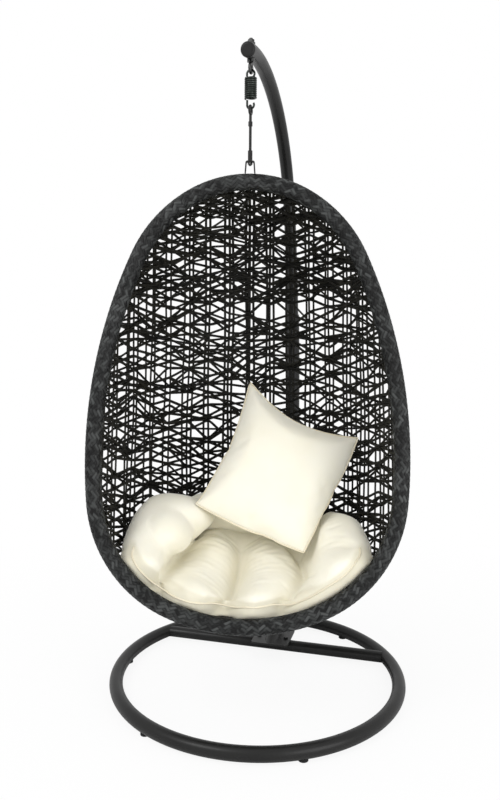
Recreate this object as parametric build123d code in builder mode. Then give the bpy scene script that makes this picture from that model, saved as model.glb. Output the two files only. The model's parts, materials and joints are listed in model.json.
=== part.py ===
"""Hanging egg chair: a round base ring with a curved pole, and a woven basket that hangs from it.

Millimetres, +Z up, the chair's front towards -Y. The origin lies on the floor in the middle of
the footprint. The basket is drawn in its own plane, the plane of its rim: u across, v down the
rim from its top, w rearwards into the bowl.
"""

import math
import os

from build123d import *

os.makedirs("parts", exist_ok=True)

# ---------------------------------------------------------------- driving dimensions: stand
ring_radius = 453.5  # base ring, to the middle of its tube
ring_tube = 42.0
glide_count = 6
glide_diameter = 28.0
glide_height = 4.0  # clear height of the ring above the floor
glide_lip = 5.0  # how far a glide cups the tube
brace_tube = 38.0  # crossbar and spine
brace_wall = 2.0
crossbar_setback = 221.0  # behind the ring's centre
plate_width = 130.0  # foot plate, across
plate_front = 60.0  # foot plate, in front of the crossbar
plate_rear = 84.0
plate_thickness = 6.0
plate_bolt_spread = 96.0
gusset_length = 88.0
gusset_thickness = 6.0
bolt_size = 8.0
bolt_head_height = 5.5
bolt_head_width = 13.0

# pole: arcs in the middle plane
pole_setback = 534.0  # rearmost point of the pole's middle line, behind the ring's centre
pole_waist_height = 753.0  # height of that point
back_radius = 2800.0
back_lean = 17.0  # degrees of the back arc above the waist
back_undercut = 6.2  # degrees of the back arc below the waist
top_radius = 496.0
top_turn = 85.6
foot_radius = 500.0
foot_overcut = 8.0  # degrees that the foot arc is drawn past the plate before it is cut
upper_tube = 42.0
lower_tube = 48.0
pole_wall = 2.0
joint_lean = 8.98  # degrees above the waist where the two tubes meet
plug_turn = 1.9  # degrees of the back arc that the upper tube goes into the lower one
cap_dome = 9.0
cap_plug = 16.0
cap_wall = 3.0

# ---------------------------------------------------------------- driving dimensions: hanger
hang_advance = 140.0  # hanging line, in front of the ring's centre
eye_shank = 10.0
eye_radius = 12.0
eye_wire = 9.0
collar_diameter = 21.0
collar_height = 8.0
nut_width = 17.0
nut_height = 8.0
washer_diameter = 24.0
washer_thickness = 2.0
spring_outer = 35.4
spring_wire = 6.0
spring_turns = 10
spring_pitch = 6.4
spring_sides = 12  # straight lengths that make one turn
top_hook_radius = 11.0
top_hook_rise = 6.5  # from the coil's top to the middle of its hook
low_hook_radius = 10.0
low_hook_drop = 14.0  # from the coil's foot to the middle of the lower hook
rod_wire = 8.0
rod_eye_radius = 11.0
rod_length = 151.0  # from the middle of the rod eye's wire to the top of the yoke
ferrule_diameter = 12.0
ferrule_length = 12.0
ferrule_drop = 43.0
barrel_diameter = 13.0
barrel_length = 28.0
yoke_width = 32.0
yoke_height = 58.0  # from its top to the middle of the rim tube
yoke_depth = 16.0
yoke_strap = 4.0
yoke_taper = 3.0  # how much narrower each side is at the crown
swivel_nut_width = 12.0
swivel_nut_height = 6.0

# ---------------------------------------------------------------- driving dimensions: basket
heading = 14.5  # degrees that the hanging basket is turned about the hanging line
basket_tilt = 10.0  # degrees that the rim's lower end stands forward
crown_radius = 317.6  # rim outline, from its top: five arcs a side
crown_turn = 31.4
shoulder_radius = 372.2
shoulder_turn = 35.2
flank_turn = 28.7
hip_radius = 357.0
hip_turn = 60.2
bottom_radius = 521.4
rim_tube = 25.0
rim_tube_wall = 1.5
wrap_diameter = 46.0
wrap_sides = 12  # flats that the wound strip makes round the tube
depth_ratio = 1.39  # bowl depth over half its width
fan_distance = 1900.0  # in front of the rim, where the planes of all uprights meet
upright_count = 17
upright_width = 5.0
upright_thickness = 3.0
strand_size = 3.0
strand_slope = 0.21
strand_count = 16
end_bends = 3  # spans between the rim and the nearest strand
first_strand = 75.0  # down the rim
last_strand = 1165.0
rib_width = 7.0
rib_thickness = 3.0
rib_levels = (400.0, 690.0, 980.0)
rib_gap = 0.5  # extra, because ribs and strands cross at a slant

# ---------------------------------------------------------------- driving dimensions: cushions
seat_top = 912.0  # down the rim, the top of the seat cushion's side lobes
seat_bottom = 1228.0
seat_front = 26.0  # behind the rim's plane
seat_inset = 12.0
dish_front_level = 1165.0  # the hollow's floor at the front
lobe_top_reach = 262.0  # half the cushion's width at the top of its lobes
lobe_reach = 360.0  # and where they come down to the bowl
lobe_foot = 1085.0
lobe_front_level = 1095.0  # the lobes rise rearwards from this level at the front
lobe_peak_depth = 265.0  # to their top this far behind the rim's plane
dish_slope = 17.5  # degrees that the floor rises rearwards
dish_half_width = 238.0
dish_corner = 90.0
dish_length = 360.0
pillow_size = 410.0
pillow_thickness = 140.0
pillow_edge = 16.0
pillow_corner = 18.0
pillow_place = (88.0, 812.6, 238.0)  # u, v, w of its middle
pillow_lean = 22.0
pillow_roll = 25.0
pillow_yaw = 0.0

# ---------------------------------------------------------------- clearances
seat_gap = 0.3  # between pieces that rest on or lie round each other
bore_gap = 0.2  # on the radius, a shank or tube in its bore
strand_gap = 0.6  # between layers of the weave


# ================================================================= worked-out places
ring_outer = ring_radius + ring_tube / 2
ring_y = (ring_outer - pole_setback - lower_tube / 2) / 2
ring_z = glide_height + ring_tube / 2
brace_z = ring_z
crossbar_y = ring_y + crossbar_setback
hang_y = ring_y - hang_advance
plate_z = brace_z + brace_tube / 2
plate_top = plate_z + plate_thickness

waist = (ring_y + pole_setback, pole_waist_height)
back_centre = (waist[0] - back_radius, waist[1])


def on_back_arc(degrees):
    """A point of the pole's back arc, as (y, z), so many degrees above the waist."""
    angle = math.radians(degrees)
    return (back_centre[0] + back_radius * math.cos(angle), back_centre[1] + back_radius * math.sin(angle))


def along_back_arc(degrees):
    """The upward direction of the back arc at that point."""
    angle = math.radians(degrees)
    return (-math.sin(angle), math.cos(angle))


def inward(point, degrees, radius):
    """The centre of an arc of that radius which leaves the back arc smoothly at the point."""
    angle = math.radians(degrees)
    return (point[0] - radius * math.cos(angle), point[1] - radius * math.sin(angle))


top_start = on_back_arc(back_lean)
top_centre = inward(top_start, back_lean, top_radius)
foot_start = on_back_arc(-back_undercut)
foot_centre = inward(foot_start, -back_undercut, foot_radius)
foot_turn = math.degrees(math.asin((foot_centre[1] - plate_top) / foot_radius)) - back_undercut

pole_z = top_centre[1] + math.sqrt(top_radius**2 - (hang_y - top_centre[0]) ** 2)
eye_z = pole_z - upper_tube / 2 - collar_height - eye_radius - eye_wire / 2
upper_pivot_z = eye_z - eye_radius + eye_wire / 2 + seat_gap + spring_wire / 2
coil_top = upper_pivot_z - top_hook_radius - top_hook_rise
coil_foot = coil_top - spring_turns * spring_pitch
low_hook_z = coil_foot - low_hook_drop
lower_pivot_z = low_hook_z - low_hook_radius + spring_wire / 2 + seat_gap + rod_wire / 2
yoke_top = lower_pivot_z - rod_length
rim_top_z = yoke_top - yoke_height
coil_radius = (spring_outer - spring_wire) / 2

turn_about_z = math.radians(heading)
tilt = math.radians(basket_tilt)
across = Vector(math.cos(turn_about_z), math.sin(turn_about_z), 0)
rearward = Vector(
    -math.sin(turn_about_z) * math.cos(tilt),
    math.cos(turn_about_z) * math.cos(tilt),
    -math.sin(tilt),
)
basket = Plane(origin=(0, hang_y, rim_top_z), x_dir=across, z_dir=rearward)


def in_basket(u, v, w):
    """A point of the basket in the chair's own frame."""
    return basket.from_local_coords(Vector(u, v, w))


def basket_direction(u, v, w):
    """A direction of the basket in the chair's own frame."""
    return in_basket(u, v, w) - basket.origin


def basket_plane(origin, x_axis, z_axis):
    """A plane given in the basket's own coordinates."""
    return Plane(
        origin=in_basket(*origin),
        x_dir=basket_direction(*x_axis),
        z_dir=basket_direction(*z_axis),
    )


# ================================================================= rim outline and bowl
def turned(radius, start, end):
    """How far an arc gets across the basket while its heading turns between two angles."""
    return radius * (math.sin(math.radians(end)) - math.sin(math.radians(start)))


shoulder_from = crown_turn
flank_from = shoulder_from + shoulder_turn
hip_from = flank_from + flank_turn
bottom_from = hip_from + hip_turn
half_width_without_flank = (
    turned(crown_radius, 0, shoulder_from)
    + turned(shoulder_radius, shoulder_from, flank_from)
    + turned(hip_radius, hip_from, bottom_from)
    + turned(bottom_radius, bottom_from, 180)
)
# the flank's radius is the one that closes the outline on the middle line
flank_radius = -half_width_without_flank / turned(1, flank_from, hip_from)
rim_arcs = (
    (crown_radius, 0, shoulder_from),
    (shoulder_radius, shoulder_from, flank_from),
    (flank_radius, flank_from, hip_from),
    (hip_radius, hip_from, bottom_from),
    (bottom_radius, bottom_from, 180),
)


def chain_rim_arcs():
    """Each rim arc as its radius, centre, first heading, turn and lowest level."""
    u = 0.0
    v = 0.0
    chained = []
    for radius, start, end in rim_arcs:
        centre_u = u - radius * math.sin(math.radians(start))
        centre_v = v + radius * math.cos(math.radians(start))
        u = centre_u + radius * math.sin(math.radians(end))
        v = centre_v - radius * math.cos(math.radians(end))
        chained.append((radius, centre_u, centre_v, start, end - start, v))
    return chained


chained_arcs = chain_rim_arcs()
rim_height = chained_arcs[-1][-1]


def rim_half_width(v):
    """Half the rim's width at a level, and how fast it grows with v."""
    level = min(max(v, 0.01), rim_height - 0.01)
    for radius, centre_u, centre_v, _, _, lowest in chained_arcs:
        if level <= lowest:
            rise = math.sqrt(radius**2 - (level - centre_v) ** 2)
            return centre_u + rise, -(level - centre_v) / rise
    return 0.0, 0.0


def bowl_gradient(u, v, w):
    """Outward direction of the bowl near a point, as long as its measure grows there."""
    half, growth = rim_half_width(v)
    return Vector(2 * u, -2 * half * growth, 2 * w / depth_ratio**2)


def outside(u, v, w):
    """About how far a point lies outside the bowl's middle surface."""
    half, _ = rim_half_width(v)
    value = u**2 + (w / depth_ratio) ** 2 - half**2
    beyond_ends = max(0.0, -v, v - rim_height)
    return value / bowl_gradient(u, v, w).length + beyond_ends


def solve(measure, low, high):
    """The place between two values where a growing measure passes zero."""
    for _ in range(40):
        middle = (low + high) / 2
        if measure(middle) > 0:
            high = middle
        else:
            low = middle
    return (low + high) / 2


strand_end = wrap_diameter / 2 + seat_gap  # w where strands stop against the rim
deepest = rim_height * depth_ratio
fan_angles = []
widest = max(rim_half_width(rim_height * k / 50)[0] for k in range(1, 50))
for k in range(upright_count):
    angle = math.pi * (k + 1) / (upright_count + 1)
    u_k = widest * math.cos(angle)
    w_k = depth_ratio * widest * math.sin(angle)
    fan_angles.append(math.atan2(u_k, fan_distance + w_k))
fan_angles.sort()


def crossing_layer(fan_angle, slope, u, v, w):
    """How far off the bowl's middle surface a strand's middle lies where it crosses an upright.

    Neither lies quite flat to the bowl everywhere, so each one's width counts with its thickness.
    """
    normal = bowl_gradient(u, v, w).normalized()
    upright_skew = abs(normal.dot(Vector(math.cos(fan_angle), 0, -math.sin(fan_angle))))
    strand_skew = abs(normal.dot(Vector(slope, -1, 0).normalized()))
    upright_reach = (upright_thickness + upright_width * upright_skew) / 2
    strand_reach = strand_size * (1 + strand_skew) / 2
    return upright_reach + strand_gap + strand_reach


def rib_layer(fan_angle, slope, u, v, w):
    """The same for the middle of a steel rib, which lies outside the outer strands."""
    normal = bowl_gradient(u, v, w).normalized()
    strand_skew = abs(normal.dot(Vector(strand_slope, 1, 0).normalized()))
    rib_skew = abs(normal.dot(Vector(0, 1, 0)))
    strand_reach = strand_size * (1 + strand_skew) / 2
    rib_reach = (rib_thickness + rib_width * rib_skew) / 2
    return crossing_layer(fan_angle, strand_slope, u, v, w) + strand_reach + rib_gap + rib_reach


def no_layer(fan_angle, slope, u, v, w):
    """The middle surface itself, where the uprights lie."""
    return 0.0


def fan_point(fan_angle, level, slope, layer, side, shift):
    """Where an upright's plane meets a strand's side: (u, v, w).

    The side lies off the middle surface by the layer, outwards or inwards as the side's sign
    says, and by the shift.
    """
    lean = math.tan(fan_angle)

    def measure(w):
        u = lean * (fan_distance + w)
        v = level + slope * u
        return outside(u, v, w) - side * layer(fan_angle, slope, u, v, w) - shift

    w = solve(measure, 0.0, deepest)
    u = lean * (fan_distance + w)
    return u, level + slope * u, w


# ================================================================= stand
def base_ring_section(radius):
    """Circle of the base ring's tube, ready to be revolved round the ring's axis."""
    with Locations((ring_radius, ring_z)):
        Circle(radius)


ring_plane = Plane(origin=(0, ring_y, 0), x_dir=(1, 0, 0), z_dir=(0, -1, 0))
ring_axis = Axis((0, ring_y, 0), (0, 0, 1))

with BuildPart() as base_ring:
    with BuildSketch(ring_plane):
        base_ring_section(ring_tube / 2)
    revolve(axis=ring_axis)
base_ring.part.label = "base_ring"

with BuildPart() as ring_glides:
    with BuildSketch(Plane((0, ring_y, 0))):
        with PolarLocations(ring_radius, glide_count):
            Circle(glide_diameter / 2)
    extrude(amount=glide_height + glide_lip)
    with BuildSketch(ring_plane):
        base_ring_section(ring_tube / 2 + bore_gap)
    revolve(axis=ring_axis, mode=Mode.SUBTRACT)
ring_glides.part.label = "ring_glides"

with BuildPart() as crossbar:
    with BuildSketch(Plane((0, crossbar_y, brace_z), x_dir=(0, 1, 0), z_dir=(1, 0, 0))):
        Circle(brace_tube / 2)
        Circle(brace_tube / 2 - brace_wall, mode=Mode.SUBTRACT)
    extrude(amount=math.sqrt(ring_radius**2 - crossbar_setback**2), both=True)
    with BuildSketch(ring_plane):
        base_ring_section(ring_tube / 2 + seat_gap)
    revolve(axis=ring_axis, mode=Mode.SUBTRACT)
crossbar.part.label = "crossbar"

with BuildPart() as spine_tube:
    with BuildSketch(Plane((0, crossbar_y, brace_z), x_dir=(1, 0, 0), z_dir=(0, 1, 0))):
        Circle(brace_tube / 2)
        Circle(brace_tube / 2 - brace_wall, mode=Mode.SUBTRACT)
    extrude(amount=ring_radius - crossbar_setback)
    with BuildSketch(ring_plane):
        base_ring_section(ring_tube / 2 + seat_gap)
    revolve(axis=ring_axis, mode=Mode.SUBTRACT)
    with BuildSketch(Plane((0, crossbar_y, brace_z), x_dir=(0, 1, 0), z_dir=(1, 0, 0))):
        Circle(brace_tube / 2 + seat_gap)
    extrude(amount=brace_tube, both=True, mode=Mode.SUBTRACT)
spine_tube.part.label = "spine_tube"

plate_bolts = (
    (-plate_bolt_spread / 2, crossbar_y),
    (plate_bolt_spread / 2, crossbar_y),
)
plate_middle = crossbar_y + (plate_rear - plate_front) / 2

with BuildPart() as foot_plate:
    with BuildSketch(Plane((0, plate_middle, plate_z + seat_gap))):
        RectangleRounded(plate_width, plate_front + plate_rear, plate_thickness * 2)
    extrude(amount=plate_thickness - seat_gap)
    with Locations(*[(x, y, plate_top) for x, y in plate_bolts]):
        Hole(bolt_size / 2 + bore_gap)
foot_plate.part.label = "foot_plate"

with BuildPart() as plate_bolt_set:
    with BuildSketch(Plane.XY.offset(plate_top)):
        with Locations(*plate_bolts):
            RegularPolygon(bolt_head_width / 2, 6, major_radius=False)
    extrude(amount=bolt_head_height)
    with BuildSketch(Plane.XY.offset(plate_top)):
        with Locations(*plate_bolts):
            Circle(bolt_size / 2)
    extrude(amount=-plate_thickness + seat_gap)
plate_bolt_set.part.label = "plate_bolts"

pole_plane = Plane(origin=(0, 0, 0), x_dir=(0, 1, 0), z_dir=(1, 0, 0))


def path_start(path):
    """The plane across a built path at its first point."""
    return Plane(origin=path.wire() @ 0, z_dir=path.wire() % 0)


socket_radius = upper_tube / 2 + bore_gap
with BuildPart() as lower_pole:
    with BuildLine(pole_plane) as lower_path:
        CenterArc(back_centre, back_radius, joint_lean, -joint_lean - back_undercut)
        # the tube is drawn a little long and then cut level with the foot plate
        CenterArc(foot_centre, foot_radius, -back_undercut, -foot_turn - foot_overcut)
    with BuildSketch(path_start(lower_path)):
        Circle(lower_tube / 2)
        Circle(socket_radius, mode=Mode.SUBTRACT)
    sweep(path=lower_path.wire())
    split(bisect_by=Plane.XY.offset(plate_top))
lower_pole.part.label = "lower_pole"

with BuildPart() as upper_pole:
    with BuildLine(pole_plane) as upper_path:
        CenterArc(back_centre, back_radius, joint_lean - plug_turn, back_lean - joint_lean + plug_turn)
        CenterArc(top_centre, top_radius, back_lean, top_turn)
    with BuildSketch(path_start(upper_path)):
        Circle(upper_tube / 2)
        Circle(upper_tube / 2 - pole_wall, mode=Mode.SUBTRACT)
    sweep(path=upper_path.wire())
    with BuildSketch(Plane((0, hang_y, eye_z))):
        Circle(eye_shank / 2 + bore_gap)
    extrude(amount=pole_z - eye_z + upper_tube, mode=Mode.SUBTRACT)
upper_pole.part.label = "upper_pole"

pole_end = upper_path.wire() @ 1
cap_plane = Plane(origin=pole_end, z_dir=upper_path.wire() % 1).offset(seat_gap)
# the plug is straight and the tube bends, so it is thinner by the bend's rise over its length
cap_bore = upper_tube / 2 - pole_wall - bore_gap - cap_plug**2 / (2 * top_radius)
with BuildPart() as end_cap:
    with BuildSketch(cap_plane):
        Circle(upper_tube / 2)
    extrude(amount=cap_dome)
    fillet(end_cap.edges().sort_by(Axis(pole_end, cap_plane.z_dir))[-1], cap_dome * 0.85)
    with BuildSketch(cap_plane):
        Circle(cap_bore)
        Circle(cap_bore - cap_wall, mode=Mode.SUBTRACT)
    extrude(amount=-cap_plug)
end_cap.part.label = "end_cap"

gusset_front = crossbar_y + plate_rear + seat_gap
with BuildPart() as foot_gusset:
    with BuildSketch(pole_plane):
        with BuildLine():
            Polyline(
                (gusset_front, plate_z + seat_gap),
                (gusset_front + gusset_length * 0.6, plate_z + seat_gap),
                (gusset_front + gusset_length, plate_z + gusset_length * 1.2),
                (gusset_front, plate_z + gusset_length * 1.2),
                close=True,
            )
        make_face()
        with Locations(foot_centre):
            Circle(foot_radius + lower_tube / 2 + seat_gap, mode=Mode.SUBTRACT)
    extrude(amount=gusset_thickness / 2, both=True)
foot_gusset.part.label = "foot_gusset"

# ================================================================= hanger
# the eye, hooks and rod hang in the line through (0, hang_y); links alternate between the
# middle plane (x = 0) and the plane across it, as chained rings do
hang_front = Plane(origin=(0, hang_y, 0), x_dir=(1, 0, 0), z_dir=(0, -1, 0))
hang_side = Plane(origin=(0, hang_y, 0), x_dir=(0, 1, 0), z_dir=(1, 0, 0))
hang_axis = Axis((0, hang_y, 0), (0, 0, 1))
pole_under = pole_z - upper_tube / 2
pole_over = pole_z + upper_tube / 2

with BuildPart() as eye_bolt:
    with BuildSketch(Plane((0, hang_y - eye_radius, eye_z), x_dir=(1, 0, 0), z_dir=(0, 0, 1))):
        Circle(eye_wire / 2)
    revolve(axis=Axis((0, hang_y, eye_z), (1, 0, 0)))
    with BuildSketch(Plane((0, hang_y, eye_z + eye_radius))):
        Circle(eye_shank / 2)
    extrude(amount=pole_over + nut_height + washer_thickness + 4 - eye_z - eye_radius)
eye_bolt.part.label = "eye_bolt"

with BuildPart() as eye_collar:
    with BuildSketch(Plane((0, hang_y, pole_under - collar_height + seat_gap))):
        Circle(collar_diameter / 2)
        Circle(eye_shank / 2 + bore_gap, mode=Mode.SUBTRACT)
    extrude(amount=collar_height + upper_tube / 4)
    with BuildSketch(Plane(origin=(0, top_centre[0], top_centre[1] + top_radius), x_dir=(0, 0, 1), z_dir=(0, 1, 0))):
        Circle(upper_tube / 2 + seat_gap)
    revolve(axis=Axis((0, *top_centre), (1, 0, 0)), revolution_arc=60, mode=Mode.SUBTRACT)
eye_collar.part.label = "eye_collar"

with BuildPart() as top_washer:
    with BuildSketch(Plane((0, hang_y, pole_over + washer_thickness))):
        Circle(washer_diameter / 2)
        Circle(eye_shank / 2 + bore_gap, mode=Mode.SUBTRACT)
    extrude(amount=-washer_thickness - upper_tube / 4)
    with BuildSketch(Plane((0, top_centre[0], top_centre[1] + top_radius), x_dir=(0, 0, 1), z_dir=(0, 1, 0))):
        Circle(upper_tube / 2 + seat_gap)
    revolve(axis=Axis((0, *top_centre), (1, 0, 0)), revolution_arc=60, mode=Mode.SUBTRACT)
top_washer.part.label = "top_washer"

with BuildPart() as top_nut:
    with BuildSketch(Plane((0, hang_y, pole_over + washer_thickness))):
        RegularPolygon(nut_width / 2, 6, major_radius=False)
        Circle(eye_shank / 2 + bore_gap, mode=Mode.SUBTRACT)
    extrude(amount=nut_height)
top_nut.part.label = "top_nut"

# the top hook is a loop through the eye whose tail bends down to the coil's first turn
top_loop_z = upper_pivot_z - top_hook_radius
with BuildPart() as spring_top_hook:
    with BuildLine(hang_front) as top_hook_path:
        top_loop = CenterArc((0, top_loop_z), top_hook_radius, -60, 240)
        Line((-top_hook_radius, top_loop_z), (-top_hook_radius, coil_top + seat_gap))
    with BuildSketch(path_start(top_hook_path)):
        Circle(spring_wire / 2)
    sweep(path=top_hook_path.wire())
spring_top_hook.part.label = "spring_top_hook"


def coil_point(step):
    """A corner of the coil's middle line, counted from its top."""
    angle = 2 * math.pi * step / spring_sides
    fall = spring_wire / 2 + (coil_top - coil_foot - spring_wire) * step / (spring_sides * spring_turns)
    return (
        -coil_radius * math.cos(angle),
        hang_y + coil_radius * math.sin(angle),
        coil_top - fall,
    )


with BuildPart() as spring_coil:
    with BuildLine() as coil_path:
        Polyline(*[coil_point(step) for step in range(spring_sides * spring_turns + 1)])
    with BuildSketch(path_start(coil_path)):
        RegularPolygon(spring_wire / 2, 6)
    sweep(path=coil_path.wire(), transition=Transition.RIGHT)
spring_coil.part.label = "spring_coil"

with BuildPart() as spring_low_hook:
    with BuildLine(hang_front) as low_hook_path:
        Line((-low_hook_radius, coil_foot - seat_gap), (-low_hook_radius, low_hook_z))
        CenterArc((0, low_hook_z), low_hook_radius, 180, 210)
    with BuildSketch(path_start(low_hook_path)):
        Circle(spring_wire / 2)
    sweep(path=low_hook_path.wire())
spring_low_hook.part.label = "spring_low_hook"

rod_eye_z = lower_pivot_z - rod_eye_radius
rod_foot = yoke_top - yoke_strap - seat_gap - swivel_nut_height - 3
with BuildPart() as hanging_rod:
    with BuildSketch(Plane((0, hang_y - rod_eye_radius, rod_eye_z), x_dir=(1, 0, 0), z_dir=(0, 0, 1))):
        Circle(rod_wire / 2)
    revolve(axis=Axis((0, hang_y, rod_eye_z), (1, 0, 0)))
    with BuildSketch(Plane((0, hang_y, rod_eye_z - rod_eye_radius))):
        Circle(rod_wire / 2)
    extrude(amount=rod_foot - rod_eye_z + rod_eye_radius)
    with BuildSketch(Plane((0, hang_y, lower_pivot_z - ferrule_drop))):
        Circle(ferrule_diameter / 2)
    extrude(amount=-ferrule_length)
    with BuildSketch(Plane((0, hang_y, yoke_top + seat_gap))):
        Circle(barrel_diameter / 2)
    extrude(amount=barrel_length)
hanging_rod.part.label = "hanging_rod"

with BuildPart() as swivel_nut:
    with BuildSketch(Plane((0, hang_y, yoke_top - yoke_strap - seat_gap))):
        RegularPolygon(swivel_nut_width / 2, 6, major_radius=False)
        Circle(rod_wire / 2 + bore_gap, mode=Mode.SUBTRACT)
    extrude(amount=-swivel_nut_height)
swivel_nut.part.label = "swivel_nut"

# ================================================================= basket frame
yoke_plane = Plane(origin=(0, hang_y, yoke_top), x_dir=across, z_dir=(across.Y, -across.X, 0))
yoke_legs = yoke_height - wrap_diameter / 2
with BuildPart() as hanger_yoke:
    with BuildSketch(yoke_plane):
        with BuildLine():
            Polyline(
                (-yoke_width / 2, -yoke_legs - yoke_strap),
                (-yoke_width / 2 + yoke_taper, 0),
                (yoke_width / 2 - yoke_taper, 0),
                (yoke_width / 2, -yoke_legs - yoke_strap),
                close=True,
            )
        yoke_face = make_face()
        fillet(yoke_face.vertices().group_by(Axis.Z)[-1], yoke_strap * 1.5)
        offset(amount=-yoke_strap, mode=Mode.SUBTRACT)
        with Locations((0, -yoke_legs - yoke_strap)):
            Rectangle(yoke_width - 2 * yoke_strap, 4 * yoke_strap, mode=Mode.SUBTRACT)
    extrude(amount=yoke_depth / 2, both=True)
    with BuildSketch(Plane((0, hang_y, yoke_top))):
        Circle(rod_wire / 2 + seat_gap)
    extrude(amount=-2 * yoke_strap, mode=Mode.SUBTRACT)
    with BuildSketch(Plane(origin=basket.origin, z_dir=across)):
        Circle(wrap_diameter / 2 + seat_gap)
    extrude(amount=yoke_width, both=True, mode=Mode.SUBTRACT)
hanger_yoke.part.label = "hanger_yoke"

rim_start = Plane(origin=basket.origin, z_dir=across)
with BuildPart() as rim_tube_ring:
    with BuildLine(basket) as rim_path:
        for radius, centre_u, centre_v, start, turn, _ in chained_arcs:
            CenterArc((centre_u, centre_v), radius, start - 90, turn)
        for radius, centre_u, centre_v, start, turn, _ in reversed(chained_arcs):
            CenterArc((-centre_u, centre_v), radius, 270 - start - turn, turn)
    with BuildSketch(rim_start):
        Circle(rim_tube / 2)
        Circle(rim_tube / 2 - rim_tube_wall, mode=Mode.SUBTRACT)
    sweep(path=rim_path.wire())
rim_tube_ring.part.label = "rim_tube"

with BuildPart() as rim_wrap:
    with BuildSketch(rim_start):
        RegularPolygon(wrap_diameter / 2, wrap_sides)
        RegularPolygon(rim_tube / 2 + bore_gap, wrap_sides, major_radius=False, mode=Mode.SUBTRACT)
    sweep(path=rim_path.wire())
rim_wrap.part.label = "rim_wrap"

# ================================================================= weave


strand_levels = [
    first_strand + (last_strand - first_strand) * k / (strand_count - 1) for k in range(strand_count)
]

def upright_plane(fan_angle):
    """The plane of an upright, with its origin on the rim's plane, level with the rim's top."""
    return basket_plane(
        (fan_distance * math.tan(fan_angle), 0, 0),
        (math.sin(fan_angle), 0, math.cos(fan_angle)),
        (-math.cos(fan_angle), 0, math.sin(fan_angle)),
    )


def upright_level(fan_angle, layer, shift, w, low, high):
    """The level, between two, where an upright's side is that far behind the rim's plane."""
    u = math.tan(fan_angle) * (fan_distance + w)
    sign = 1 if outside(u, low, w) < outside(u, high, w) else -1

    def measure(v):
        return sign * (outside(u, v, w) - layer(fan_angle, 0, u, v, w) - shift)

    return solve(measure, low, high)


def upright_side(fan_angle, layer, shift):
    """One side of an upright round the bowl, bent where it meets each strand, as (s, v)."""
    middle = rim_height / 2
    crossings = []
    for level in strand_levels:
        for slope in (-strand_slope, strand_slope):
            _, v, w = fan_point(fan_angle, level, slope, layer, 1, shift)
            if w > strand_end + upright_width:
                crossings.append((w, v))
    crossings.sort(key=lambda crossing: crossing[1])
    side = []
    # the first and last spans are long and cross the bowl's sharpest bend, so they bend too
    for low, high, nearest in (
        (-wrap_diameter, middle, crossings[0]),
        (middle, rim_height + wrap_diameter, crossings[-1]),
    ):
        span = nearest[0] - strand_end
        bends = [strand_end + span * k / end_bends for k in range(end_bends)]
        side += [(w, upright_level(fan_angle, layer, shift, w, low, high)) for w in bends]
    side.sort(key=lambda bend: bend[1])
    last = side[:end_bends]
    for w, v in crossings + side[end_bends:]:
        if v - last[-1][1] > upright_width / 2:
            last.append((w, v))
    return [(w / math.cos(fan_angle), v) for w, v in last]


with BuildPart() as weave_uprights:
    for fan_angle in fan_angles:
        outer = upright_side(fan_angle, no_layer, upright_thickness / 2)
        inner = upright_side(fan_angle, no_layer, -upright_thickness / 2)
        with BuildSketch(upright_plane(fan_angle)):
            with BuildLine():
                Polyline(*outer, *reversed(inner), close=True)
            make_face()
        extrude(amount=upright_width / 2, both=True)
weave_uprights.part.label = "weave_uprights"


def level_plane(level, slope):
    """The plane of a cross strand, which crosses the middle at a level and falls across at a slope."""
    return basket_plane((0, level, 0), (1, slope, 0), (slope, -1, 0))


def level_end(level, slope, layer, side, shift, hand):
    """How far across a strand's side goes, to one hand, before it comes to the back of the rim."""
    fan_angle = hand * fan_angles[-1]

    def measure(reach):
        u = hand * reach
        v = level + slope * u
        return outside(u, v, strand_end) - side * layer(fan_angle, slope, u, v, strand_end) - shift

    return hand * solve(measure, 0.0, widest + wrap_diameter)


def level_side(level, slope, layer, side, shift):
    """One side of a strand round the bowl from rim to rim, as (along the plane, w)."""
    stretch = math.hypot(1, slope)
    first = level_end(level, slope, layer, side, shift, -1)
    last = level_end(level, slope, layer, side, shift, 1)
    points = [(first * stretch, strand_end)]
    for fan_angle in fan_angles:
        u, _, w = fan_point(fan_angle, level, slope, layer, side, shift)
        if w > strand_end + upright_width and first < u < last:
            points.append((u * stretch, w))
    points.append((last * stretch, strand_end))
    return points


with BuildPart() as weave_rising:
    for level in strand_levels:
        outer = level_side(level, -strand_slope, crossing_layer, 1, strand_size / 2)
        inner = level_side(level, -strand_slope, crossing_layer, 1, -strand_size / 2)
        with BuildSketch(level_plane(level, -strand_slope)):
            with BuildLine():
                Polyline(*outer, *reversed(inner), close=True)
            make_face()
        extrude(amount=strand_size / 2, both=True)
weave_rising.part.label = "weave_rising"

with BuildPart() as weave_falling:
    for level in strand_levels:
        outer = level_side(level, strand_slope, crossing_layer, -1, strand_size / 2)
        inner = level_side(level, strand_slope, crossing_layer, -1, -strand_size / 2)
        with BuildSketch(level_plane(level, strand_slope)):
            with BuildLine():
                Polyline(*outer, *reversed(inner), close=True)
            make_face()
        extrude(amount=strand_size / 2, both=True)
weave_falling.part.label = "weave_falling"

# steel ribs behind the weave, welded to each other and to the rim
with BuildPart() as basket_ribs:
    outer = upright_side(0.0, rib_layer, rib_thickness / 2)
    inner = upright_side(0.0, rib_layer, -rib_thickness / 2)
    with BuildSketch(upright_plane(0.0)):
        with BuildLine():
            Polyline(*outer, *reversed(inner), close=True)
        make_face()
    extrude(amount=rib_width / 2, both=True)
    for level in rib_levels:
        outer = level_side(level, 0.0, rib_layer, 1, rib_thickness / 2)
        inner = level_side(level, 0.0, rib_layer, 1, -rib_thickness / 2)
        with BuildSketch(level_plane(level, 0.0)):
            with BuildLine():
                Polyline(*outer, *reversed(inner), close=True)
            make_face()
        extrude(amount=rib_width / 2, both=True)
basket_ribs.part.label = "basket_ribs"

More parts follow.
